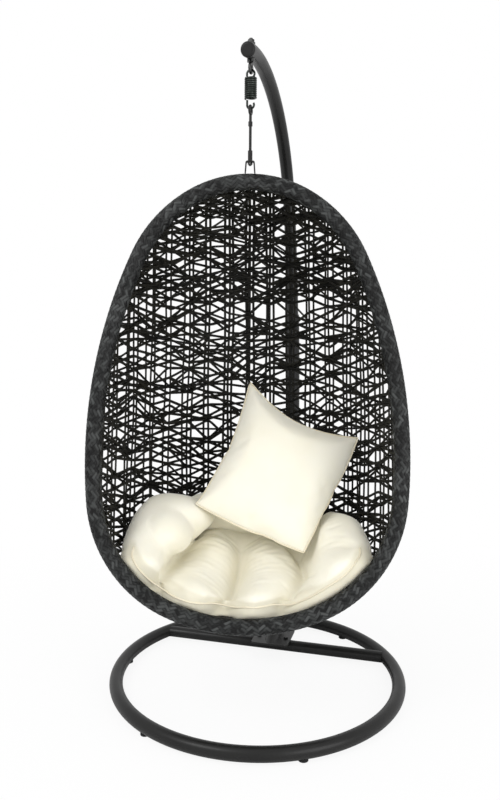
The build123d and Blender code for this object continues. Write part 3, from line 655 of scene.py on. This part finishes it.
def coil():
    """The spring as one wire wound down the coil's box."""
    radius = (coil_high.x - coil_low.x) / 2 - SPRING_WIRE
    angles = np.linspace(0, 2 * math.pi * SPRING_TURNS, SPRING_STEPS * SPRING_TURNS + 1)
    heights = np.interp(angles, [0, angles[-1]], [coil_high.z - SPRING_WIRE, coil_low.z + SPRING_WIRE])
    helix = np.stack([-radius * np.cos(angles), pivot.y + radius * np.sin(angles), heights], axis=1)
    outward = np.stack([-np.cos(angles), np.sin(angles), np.zeros_like(angles)], axis=1)
    return mesh_object("spring_helix", *tube(helix, outward, SPRING_WIRE, SPRING_WIRE, sides=12))


spring = coil()
dress(spring, SPRING)
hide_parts("spring_coil")
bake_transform(spring)

# ------------ sizes of the cushions
SEAT_VOXEL = 0.0065  # cells of the remeshed solid
SEAT_SMOOTHING = 26  # rounds that round it off
SEAT_RESTING = 0.024  # what is nearer the bowl than this rests on it and is left as it is
SEAT_SHRINK = 0.005  # the rest is drawn in by this before the air goes in
SEAT_SWELL = 0.015  # the most that the air moves a point
SEAT_CLEARANCE = 0.006  # room to the bowl
SEAT_CROWN, SEAT_CROWN_REACH = 0.022, 0.060  # height of a puff and how far from a fold it is reached
MIDDLE_FOLD = ((-0.014, 1.050, 0.340), (-0.022, 1.105, 0.216), (-0.035, 1.131, 0.135), (-0.051, 1.167, 0.030),
               (-0.066, 1.203, 0.026), (-0.074, 1.240, 0.026))
# Where the seat is stitched through or folded: points u, v, w, depth and half width of the fold.
SEAT_FOLDS = (
    (((-0.168, 1.030, 0.345), (-0.180, 1.062, 0.320), (-0.200, 1.092, 0.200), (-0.223, 1.111, 0.061),
      (-0.241, 1.141, 0.026), (-0.246, 1.183, 0.026), (-0.243, 1.218, 0.026)), 0.032, 0.014),
    (MIDDLE_FOLD, 0.026, 0.034),
    (MIDDLE_FOLD, 0.036, 0.012),
    (((0.080, 1.065, 0.320), (0.150, 1.096, 0.235), (0.166, 1.122, 0.150), (0.132, 1.153, 0.063),
      (0.099, 1.179, 0.026), (0.094, 1.225, 0.026)), 0.030, 0.013),
    (((-0.223, 1.111, 0.061), (-0.262, 1.094, 0.070), (-0.300, 1.072, 0.075)), 0.010, 0.009),
    (((-0.020, 1.062, 0.300), (-0.070, 1.050, 0.320), (-0.120, 1.045, 0.335)), 0.012, 0.010),
    (((0.000, 1.085, 0.260), (0.045, 1.062, 0.310), (0.070, 1.050, 0.330)), 0.012, 0.010),
)
FOLD_START_FADE, FOLD_END_FADE = 0.05, 0.07  # lengths over which a fold sets in and runs out
FOLD_END = 0.15  # share of its depth left at its end
FOLD_STITCHED = 0.45  # share of its half width that is stitched down
DEEP_FOLD = 0.02  # folds deeper than this part two puffs
TUCK_DEPTH = 0.0022  # of the small tucks beside a fold of depth TUCK_FOLD
TUCK_FOLD = 0.024
# Where the filling has shifted: centre u, v, w, reach and movement.
SEAT_SHIFTS = (
    ((-0.300, 0.975, 0.210), 0.100, (-0.012, -0.028, 0.000)),
    ((0.262, 0.925, 0.265), 0.090, (0.012, 0.032, 0.000)),
    ((0.310, 0.990, 0.220), 0.070, (0.016, -0.004, 0.000)),
    ((-0.095, 1.080, 0.275), 0.088, (0.000, -0.040, -0.004)),
    ((0.075, 1.085, 0.270), 0.085, (0.000, -0.036, -0.004)),
)
# Where the left side is fuller than the solid: middle and radii of oval balls of filling.
SEAT_FILLING = (
    ((-0.212, 0.984, 0.262), (0.098, 0.056, 0.088)),
    ((-0.232, 1.030, 0.190), (0.066, 0.058, 0.105)),
    ((-0.205, 1.035, 0.270), (0.060, 0.045, 0.070)),
)
SEAT_FRONT = 0.026  # room round the rim's middle line
SEAT_BEHIND, SEAT_FOREMOST = -0.004, -0.012  # w from which it is kept, and the foremost w of the seat
SEAT_FORWARD = 0.020  # how far the front comes forward over the rim
OVERHANG_AT, OVERHANG_REACH = 0.080, 0.034  # where it does so, measured from the rim's middle line
OVERHANG_FOLD = 0.03  # and how far from a fold
SEAT_BAND = 0.016  # how far the band below the seam is pushed to the rim
BAND_START, BAND_RAMP = 0.066, 0.022  # the band begins this near the rim and is pushed in full after the ramp
FRONT_LEVEL, FRONT_RAMP = 0.02, 0.05  # w up to which points count as front, and where that ends
SEAT_SEAM = ((-0.334, 1.000), (-0.326, 1.050), (-0.291, 1.107), (-0.237, 1.154), (-0.165, 1.183),
             (-0.076, 1.194), (0.011, 1.197), (0.094, 1.191), (0.171, 1.167), (0.234, 1.131),
             (0.291, 1.083), (0.321, 1.036), (0.330, 0.985))
SEAM_DEPTH, SEAM_HALF, SEAM_HELD = 0.005, 0.008, 0.004  # groove of the seam, and what of it is held
SEAM_POINTS = 110
# Painted shade of the seat: how dark the band below the seam and the folds are painted, and where that begins
# and ends.
BAND_PAINTED_SHADE, FOLD_PAINTED_SHADE = 0.6, 0.3  # darkness of the band and the most in a fold
SHADE_START, SHADE_RAMP = 0.071, 0.008  # the band's shade begins this near the rim
SHADE_LEVEL, SHADE_FADE = 0.070, 0.02  # and ends at this w
SEAT_PRESSURE, SEAT_FRAMES, SEAT_STIFFNESS = 4.0, 20, 5.0

PILLOW_SIDE = 0.410
PILLOW_THICK = 0.134
PILLOW_CELLS = 44
PILLOW_WAISTS = (0.03, -0.03, 0.085, -0.03)  # left, right, top and bottom, as shares of the side
PILLOW_CORNERS = ((0.000, -0.026), (-0.004, 0.006), (-0.016, 0.012), (0.034, 0.018))  # how far they are moved
PILLOW_START = 0.060  # height of the panels before the air goes in
PILLOW_GIVE = 0.3  # share of the movement sideways that is kept
PILLOW_PLACE = np.array([0.088, 0.8126, 0.238])
PILLOW_LEAN = math.radians(22)
PILLOW_ROLL = math.radians(25)
PILLOW_PRESSURE, PILLOW_FRAMES, PILLOW_STIFFNESS = 4.0, 14, 15.0
PIPING_RADIUS = 0.0026
PIPING_INSET = 0.0012
PIPING_LIFT = 0.3  # share of its radius that the seat's piping stands off the cloth


# ------------ cloth helpers
def evaluated(piece):
    """Points and faces of a piece with its modifiers."""
    ready = piece.evaluated_get(bpy.context.evaluated_depsgraph_get())
    mesh = bpy.data.meshes.new_from_object(ready)
    points = np.empty(len(mesh.vertices) * 3)
    mesh.vertices.foreach_get("co", points)
    faces = [tuple(face.vertices) for face in mesh.polygons]
    bpy.data.meshes.remove(mesh)
    return points.reshape(-1, 3), faces


def altered(points, faces, modifier, **settings):
    """Points and faces after one modifier."""
    piece = mesh_object("work", points, faces)
    step = piece.modifiers.new("step", modifier)
    for key, value in settings.items():
        setattr(step, key, value)
    result = evaluated(piece)
    bpy.data.objects.remove(piece)
    return result


def inflated(points, faces, held, pressure, frames, stiffness):
    """Points after air pressure has filled the cloth, with some of them held in place."""
    piece = mesh_object("work", points, faces)
    group = piece.vertex_groups.new(name="held")
    group.add([int(i) for i in np.flatnonzero(held)], 1.0, "REPLACE")
    cloth_step = piece.modifiers.new("cloth", "CLOTH")
    settings = cloth_step.settings
    settings.vertex_group_mass = "held"
    settings.mass = 0.3
    settings.quality = 6
    settings.tension_stiffness = settings.compression_stiffness = stiffness
    settings.shear_stiffness = stiffness / 3
    settings.bending_stiffness = 0.4
    settings.use_pressure = True
    settings.uniform_pressure_force = pressure
    settings.effector_weights.gravity = 0
    cloth_step.collision_settings.use_collision = False
    cloth_step.point_cache.frame_end = frames
    for number in range(1, frames + 1):
        bpy.context.scene.frame_set(number)
    result, _ = evaluated(piece)
    bpy.data.objects.remove(piece)
    bpy.context.scene.frame_set(1)
    return result


def outward_normals(points, faces):
    """Unit normals at the points of a closed mesh."""
    quads = np.array([face if len(face) == 4 else (*face, face[0]) for face in faces])
    corner = points[quads]
    face_normal = np.cross(corner[:, 2] - corner[:, 0], corner[:, 3] - corner[:, 1])
    normal = np.zeros_like(points)
    for k in range(4):
        np.add.at(normal, quads[:, k], face_normal)
    return normal / np.maximum(np.linalg.norm(normal, axis=1, keepdims=True), 1e-12)


def smoothed(points, faces, rounds):
    """Points moved halfway to the middle of their neighbours, some times over."""
    pairs = {tuple(sorted((face[k - 1], face[k]))) for face in faces for k in range(len(face))}
    edges = np.array(sorted(pairs))
    both = np.concatenate([edges, edges[:, ::-1]])
    count = np.bincount(both[:, 0], minlength=len(points))[:, None]
    for _ in range(rounds):
        total = np.zeros_like(points)
        np.add.at(total, both[:, 0], points[both[:, 1]])
        points = points + 0.5 * (total / count - points)
    return points


def line_distance(points, line):
    """Shortest distance of each point from a broken line, and the length along it to there."""
    line = np.asarray(line, float)
    nearest = np.full(len(points), np.inf)
    along = np.zeros(len(points))
    travelled = 0.0
    for a, b in zip(line[:-1], line[1:]):
        span = b - a
        share = np.clip((points - a) @ span / (span @ span), 0, 1)
        gap = np.linalg.norm(points - a - share[:, None] * span, axis=1)
        closer = gap < nearest
        along[closer] = travelled + share[closer] * np.linalg.norm(span)
        nearest = np.minimum(nearest, gap)
        travelled += np.linalg.norm(span)
    return nearest, along


def smooth_line(points, count):
    """A smooth curve through points, evenly spaced."""
    points = np.asarray(points, float)
    padded = np.concatenate([[2 * points[0] - points[1]], points, [2 * points[-1] - points[-2]]])
    curve = []
    for k in range(1, len(padded) - 2):
        a, b, c, d = padded[k - 1:k + 3]
        for t in np.linspace(0, 1, 24, endpoint=False):
            curve.append(0.5 * (2 * b + (c - a) * t + (2 * a - 5 * b + 4 * c - d) * t**2
                                + (3 * b - a - 3 * c + d) * t**3))
    curve = np.array(curve + [points[-1]])
    lengths = np.concatenate([[0], np.cumsum(np.linalg.norm(np.diff(curve, axis=0), axis=1))])
    at = np.linspace(0, lengths[-1], count)
    return np.stack([np.interp(at, lengths, curve[:, k]) for k in range(3)], axis=1)


rim_line = sample_rim(0.006)


def rim_distance(points):
    """Distance of points from the rim's middle line, seen square to the rim's plane, and the way there."""
    found, way = [], []  # in parts of at most 4000 points, to spare memory
    for part in np.array_split(points[:, :2], 1 + len(points) // 4000):
        gap = rim_line[None, :, :2] - part[:, None, :]
        length = np.sqrt((gap**2).sum(axis=2))
        nearest = length.argmin(axis=1)
        index = np.arange(len(nearest))
        found.append(length[index, nearest])
        way.append(gap[index, nearest] / np.maximum(length[index, nearest], 1e-9)[:, None])
    return np.concatenate(found), np.concatenate(way)


def kept_inside(points):
    """Points pushed back from the weave and off the rim."""
    for _ in range(3):
        short = np.maximum(SEAT_CLEARANCE - bowl_room(points), 0)
        points = points - bowl_normal(points) * short[:, None]
    gap, _ = rim_distance(points)
    behind = (points[:, 2] > SEAT_BEHIND) & (gap < SEAT_FRONT)
    clear = np.where(behind, np.sqrt(np.maximum(SEAT_FRONT**2 - gap**2, 0)), SEAT_FOREMOST)
    points[:, 2] = np.maximum(points[:, 2], clear)
    return points


def ball(middle, radii):
    """Points and faces of an oval ball."""
    rings, sides = 12, 20
    points = [(0, 0, 1)]
    for j in range(1, rings):
        for k in range(sides):
            polar, turn = math.pi * j / rings, 2 * math.pi * k / sides
            out = math.sin(polar)
            points.append((out * math.cos(turn), out * math.sin(turn), math.cos(polar)))
    points.append((0, 0, -1))
    end, lowest = len(points) - 1, 1 + (rings - 2) * sides
    faces = []
    for k in range(sides):
        n = (k + 1) % sides
        faces.append((0, 1 + k, 1 + n))
        faces += [(1 + j * sides + k, 1 + (j + 1) * sides + k, 1 + (j + 1) * sides + n, 1 + j * sides + n)
                  for j in range(rings - 2)]
        faces.append((end, lowest + n, lowest + k))
    return np.array(points) * radii + middle, faces


def shifted(points):
    """Points of the seat after its filling has shifted."""
    moved = np.array(points, float)
    for middle, reach, move in SEAT_SHIFTS:
        gap = np.linalg.norm(points - np.array(middle), axis=1)
        moved += np.exp(-(gap / reach) ** 2)[:, None] * move
    return moved


# ------------ seat
def filled_seat():
    """The seat's solid with its filling in one skin, smoothed, in the basket's axes."""
    node = nodes["seat_cushion"]
    points, faces = evaluated(node)
    matrix = np.array(node.matrix_world)
    points = local(points @ matrix[:3, :3].T + matrix[:3, 3])
    for middle, radii in SEAT_FILLING:
        ball_points, ball_faces = ball(middle, radii)
        faces += [tuple(i + len(points) for i in face) for face in ball_faces]
        points = np.concatenate([points, ball_points])
    points, faces = altered(points, faces, "REMESH", mode="VOXEL", voxel_size=SEAT_VOXEL)
    return shifted(smoothed(points, faces, SEAT_SMOOTHING)), faces


def folds_at(points):
    """How far points sink into the folds, their distance from the deep ones, and which are stitched down."""
    sunk, nearest = np.zeros(len(points)), np.full(len(points), np.inf)
    stitched = np.zeros(len(points), bool)
    for line, depth, half in SEAT_FOLDS:
        gap, along = line_distance(points, shifted(smooth_line(line, 40)))
        fade = np.clip(along / FOLD_START_FADE, 0, 1)
        low_end = FOLD_END + (1 - FOLD_END) * np.clip((along.max() - along) / FOLD_END_FADE, 0, 1)
        uneven = np.sin(along * 37 + depth * 500) * np.sin(along * 91 + depth * 900)
        tucks = np.exp(-((gap - 2.2 * half) / (1.4 * half)) ** 2) * uneven * np.sin(along * 150 + gap * 90)
        valley = depth * low_end * np.exp(-(gap / half) ** 2)
        sunk += fade * (valley + TUCK_DEPTH * (depth / TUCK_FOLD) * tucks)
        if depth > DEEP_FOLD:
            nearest = np.minimum(nearest, gap + FOLD_START_FADE * (1 - fade))
        stitched |= (gap < FOLD_STITCHED * half) & (fade > 0.9)
    return sunk, nearest, stitched


def front_moved(points, nearest):
    """Points with the front brought forward between the folds and its band pushed towards the rim."""
    rim_gap, rimward = rim_distance(points)
    front = np.clip(1 - (points[:, 2] - FRONT_LEVEL) / FRONT_RAMP, 0, 1)
    overhang = np.exp(-((rim_gap - OVERHANG_AT) / OVERHANG_REACH) ** 2)
    overhang *= 1 - np.exp(-(nearest / OVERHANG_FOLD) ** 2)
    band = np.clip((BAND_START - rim_gap) / BAND_RAMP, 0, 1)
    points[:, 2] -= SEAT_FORWARD * front * overhang
    points[:, :2] += rimward * (SEAT_BAND * front * band)[:, None]
    return points


def seat_painted_shade(points):
    """Painted shade at the points: darker in the band below the seam and down in the folds."""
    rim_gap, _ = rim_distance(points)
    shade = BAND_PAINTED_SHADE * np.clip((SHADE_START - rim_gap) / SHADE_RAMP, 0, 1)
    shade *= np.clip((SHADE_LEVEL - points[:, 2]) / SHADE_FADE, 0, 1)
    for line, depth, half in SEAT_FOLDS:
        gap, _ = line_distance(points, shifted(smooth_line(line, 24)))
        dark = min(depth * 10, FOLD_PAINTED_SHADE) * np.exp(-((gap - depth * 0.5) / (half * 1.1)) ** 2)
        shade = np.maximum(shade, dark)
    return shade


def seat_pad():
    """The seat in the basket's axes, sunk at its folds and swollen between them: points, faces and seam."""
    points, faces = filled_seat()
    normals = smoothed(outward_normals(points, faces), faces, 6)
    resting = bowl_room(points) < SEAT_RESTING
    points = points - normals * np.where(resting, 0.0, SEAT_SHRINK)[:, None]
    sunk, nearest, stitched = folds_at(points)
    crown = SEAT_CROWN * (1 - np.exp(-(nearest / SEAT_CROWN_REACH) ** 2)) * ~resting
    points = front_moved(points + normals * (crown - sunk)[:, None], nearest)
    seam = smooth_line([(u, v, SEAT_FRONT - SEAT_FORWARD) for u, v in SEAT_SEAM], SEAM_POINTS)
    gap, _ = line_distance(points, seam)
    points = points - normals * (SEAM_DEPTH * np.exp(-(gap / SEAM_HALF) ** 2))[:, None]
    held = resting | stitched | (gap < SEAM_HELD)
    move = inflated(points, faces, held, SEAT_PRESSURE, SEAT_FRAMES, SEAT_STIFFNESS) - points
    length = np.linalg.norm(move, axis=1, keepdims=True)
    points = points + move * (SEAT_SWELL * np.tanh(length / SEAT_SWELL) / np.maximum(length, 1e-9))
    points = kept_inside(smoothed(points, faces, 2))
    points, faces = altered(points, faces, "SUBSURF", levels=1, render_levels=1)
    return points, faces, seam


# ------------ pillow and piping
def pillow_pad():
    """The pillow in its own axes, sewn from two square panels, and its seam line."""
    n = PILLOW_CELLS
    steps = np.linspace(-0.5, 0.5, n + 1)
    y, x = np.meshgrid(steps, steps, indexing="ij")
    slack_x, slack_y = 1 - (2 * x) ** 2, 1 - (2 * y) ** 2
    to_left, to_right, to_top, to_bottom = 0.5 - x, 0.5 + x, 0.5 - y, 0.5 + y
    left, right, top, bottom = PILLOW_WAISTS
    shares = np.array([to_left * to_top, to_right * to_top, to_right * to_bottom, to_left * to_bottom])
    pull = (np.array(PILLOW_CORNERS)[:, :, None, None] * shares[:, None]).sum(axis=0)
    flat = np.stack([PILLOW_SIDE * (x + slack_y * (left * to_left - right * to_right)) + pull[0],
                     PILLOW_SIDE * (y + slack_x * (top * to_top - bottom * to_bottom)) + pull[1]])
    crown = (slack_x * slack_y).ravel() ** 0.60
    front = np.concatenate([flat.reshape(2, -1).T, PILLOW_START * crown[:, None]], axis=1)
    inner = np.flatnonzero((np.abs(x.ravel()) < 0.4999) & (np.abs(y.ravel()) < 0.4999))
    back_index = np.arange(len(front))
    back_index[inner] = len(front) + np.arange(len(inner))
    points = np.concatenate([front, front[inner] * [1, 1, -1]])
    faces = []
    for j in range(n):
        for i in range(n):
            a = j * (n + 1) + i
            square = (a, a + 1, a + n + 2, a + n + 1)
            faces += [square, tuple(int(back_index[k]) for k in reversed(square))]
    edge = (list(range(n)) + [j * (n + 1) + n for j in range(n)]
            + [n * (n + 1) + i for i in range(n, 0, -1)] + [j * (n + 1) for j in range(n, 0, -1)])
    held = np.zeros(len(points), bool)
    full = inflated(points, faces, held, PILLOW_PRESSURE, PILLOW_FRAMES, PILLOW_STIFFNESS)
    points[:, :2] += PILLOW_GIVE * (full[:, :2] - points[:, :2])
    points[:, 2] = full[:, 2]
    points[:, 2] *= PILLOW_THICK / np.ptp(points[:, 2])
    seam = points[edge]
    points, faces = altered(points, faces, "SUBSURF", levels=1, render_levels=1)
    return points, faces, seam


def evened(line):
    """A line with its small kinks taken out."""
    line = np.array(line)
    for _ in range(4):
        line[1:-1] = (line[:-2] + 2 * line[1:-1] + line[2:]) / 4
    return line


def nearest_on(points, faces, line):
    """Where a line meets a mesh when each of its points moves to the nearest place, and the normals there."""
    surface = BVHTree.FromPolygons([tuple(p) for p in points], faces)
    found = [surface.find_nearest(tuple(point)) for point in line]
    return evened([hit[0] for hit in found]), evened([hit[1] for hit in found])


def piping(name, line, normals, closed):
    """A thin covered cord sewn into a seam."""
    vertices, faces = tube(line, normals, PIPING_RADIUS, PIPING_RADIUS, sides=10, closed=closed)
    place(mesh_object(name, vertices, faces), PIPING, "basket", "ivory_cloth")


def axes_of_pillow():
    """The pillow's own axes in those of the basket: rolled in its plane, then leant back."""
    cos_lean, sin_lean = math.cos(PILLOW_LEAN), math.sin(PILLOW_LEAN)
    cos_roll, sin_roll = math.cos(PILLOW_ROLL), math.sin(PILLOW_ROLL)
    sideways, downward = np.array([1.0, 0, 0]), np.array([0, cos_lean, -sin_lean])
    return np.array([cos_roll * sideways + sin_roll * downward,
                     -sin_roll * sideways + cos_roll * downward,
                     [0, sin_lean, cos_lean]])


seat_points, seat_faces, seat_seam = seat_pad()
seat = mesh_object("seat_pad", world(seat_points), seat_faces, seat_painted_shade(seat_points))
place(seat, IVORY, "basket", "ivory_cloth", "seat_cushion")
on_seam, seam_normals = nearest_on(seat_points, seat_faces, seat_seam)
seat_cord = on_seam + seam_normals * PIPING_RADIUS * PIPING_LIFT
piping("seat_piping", world(seat_cord), seam_normals @ to_world, False)

pillow_points, pillow_faces, pillow_seam = pillow_pad()
pillow_axes = axes_of_pillow()
pillow = mesh_object("pillow_pad", world(pillow_points @ pillow_axes + PILLOW_PLACE), pillow_faces)
place(pillow, IVORY, "basket", "ivory_cloth", "throw_pillow")
around = pillow_seam / np.linalg.norm(pillow_seam, axis=1, keepdims=True)
piping("pillow_piping", world((pillow_seam - around * PIPING_INSET) @ pillow_axes + PILLOW_PLACE),
       np.tile(pillow_axes[2] @ to_world, (len(around), 1)), True)

# ------------ camera, fitted to the photograph
LENS, SENSOR = 32.625, 36
CAMERA_PLACE = (0.547, -2.23575, 1.160)
CAMERA_RIGHT = Vector((0.96668463, 0.25584908, 0.00787811))
CAMERA_UP = Vector((-0.03472272, 0.100577, 0.99432319))
CAMERA_FORWARD = Vector((-0.25360432, 0.9614705, -0.10611001))

camera_data = bpy.data.cameras.new("camera")
camera_data.lens = LENS
camera_data.sensor_width = SENSOR
camera = bpy.data.objects.new("camera", camera_data)
bpy.context.scene.collection.objects.link(camera)
rotation = Matrix((CAMERA_RIGHT, CAMERA_UP, -CAMERA_FORWARD)).transposed().to_4x4()
camera.matrix_world = Matrix.Translation(CAMERA_PLACE) @ rotation
bpy.context.scene.camera = camera

# ------------ light and floor
SKY_ON_OBJECT = 0.88  # strength of the white surroundings as a lamp; the camera sees them at 1
FLOOR_LEVEL = -0.0005
FLOOR_WHITE = 0.90  # share of plain white where the object's shadow lies
WHITE_START, WHITE_END = 0.5, 1.8  # the floor turns to plain white between these distances
WHITE = (1, 1, 1, 1)


def soft_light(name, position, target, size, power):
    """A round area lamp that points at a target."""
    data = bpy.data.lights.new(name, "AREA")
    data.shape = "DISK"
    data.size = size
    data.energy = power
    light = bpy.data.objects.new(name, data)
    bpy.context.scene.collection.objects.link(light)
    light.location = position
    light.rotation_euler = (Vector(target) - Vector(position)).to_track_quat("-Z", "Y").to_euler()


def computed(tree, operation, first, second):
    """Two values joined by a Math node."""
    node = added(tree, "Math", {0: first, 1: second})
    node.operation = operation
    return node.outputs["Value"]


def light_sky():
    """White surroundings, a little weaker on the object than to the camera."""
    sky = bpy.data.worlds.new("studio")
    sky.use_nodes = True
    bpy.context.scene.world = sky
    tree = sky.node_tree
    rays = tree.nodes.new("ShaderNodeLightPath").outputs
    straight = computed(tree, "MAXIMUM", rays["Is Camera Ray"], rays["Is Transmission Ray"])
    strength = spread(tree, straight, SKY_ON_OBJECT, 1.0)
    filled(tree, tree.nodes["Background"], {"Color": WHITE, "Strength": strength})


def lay_floor():
    """A pale floor that keeps the object's shadow and turns plain white for the camera farther out."""
    bpy.ops.mesh.primitive_circle_add(vertices=96, radius=14, fill_type="NGON", location=(0, 0, FLOOR_LEVEL))
    floor = bpy.context.object
    floor.name = "floor"
    finish, tree, shader = material("floor", (0.9, 0.9, 0.9), 0.9)
    glow = added(tree, "Emission", {"Color": WHITE, "Strength": 1.0})
    distance = added(tree, "VectorMath", {0: own_axes(tree)})
    distance.operation = "LENGTH"
    white = spread(tree, distance.outputs["Value"], FLOOR_WHITE, 1.0, WHITE_START, WHITE_END)
    seen = tree.nodes.new("ShaderNodeLightPath").outputs["Is Camera Ray"]
    mixture = added(tree, "MixShader", {"Fac": computed(tree, "MULTIPLY", seen, white),
                                        1: shader.outputs["BSDF"], 2: glow.outputs["Emission"]})
    tree.links.new(mixture.outputs["Shader"], tree.nodes["Material Output"].inputs["Surface"])
    dress(floor, finish)
    return floor


soft_light("key", (-1.6, -2.6, 3.2), target=(0, -0.1, 0.7), size=1.8, power=42)
soft_light("fill", (2.8, -2.0, 1.4), target=(0, -0.1, 0.8), size=2.2, power=32)
light_sky()
floor = lay_floor()

bpy.context.scene.view_settings.view_transform = "Standard"
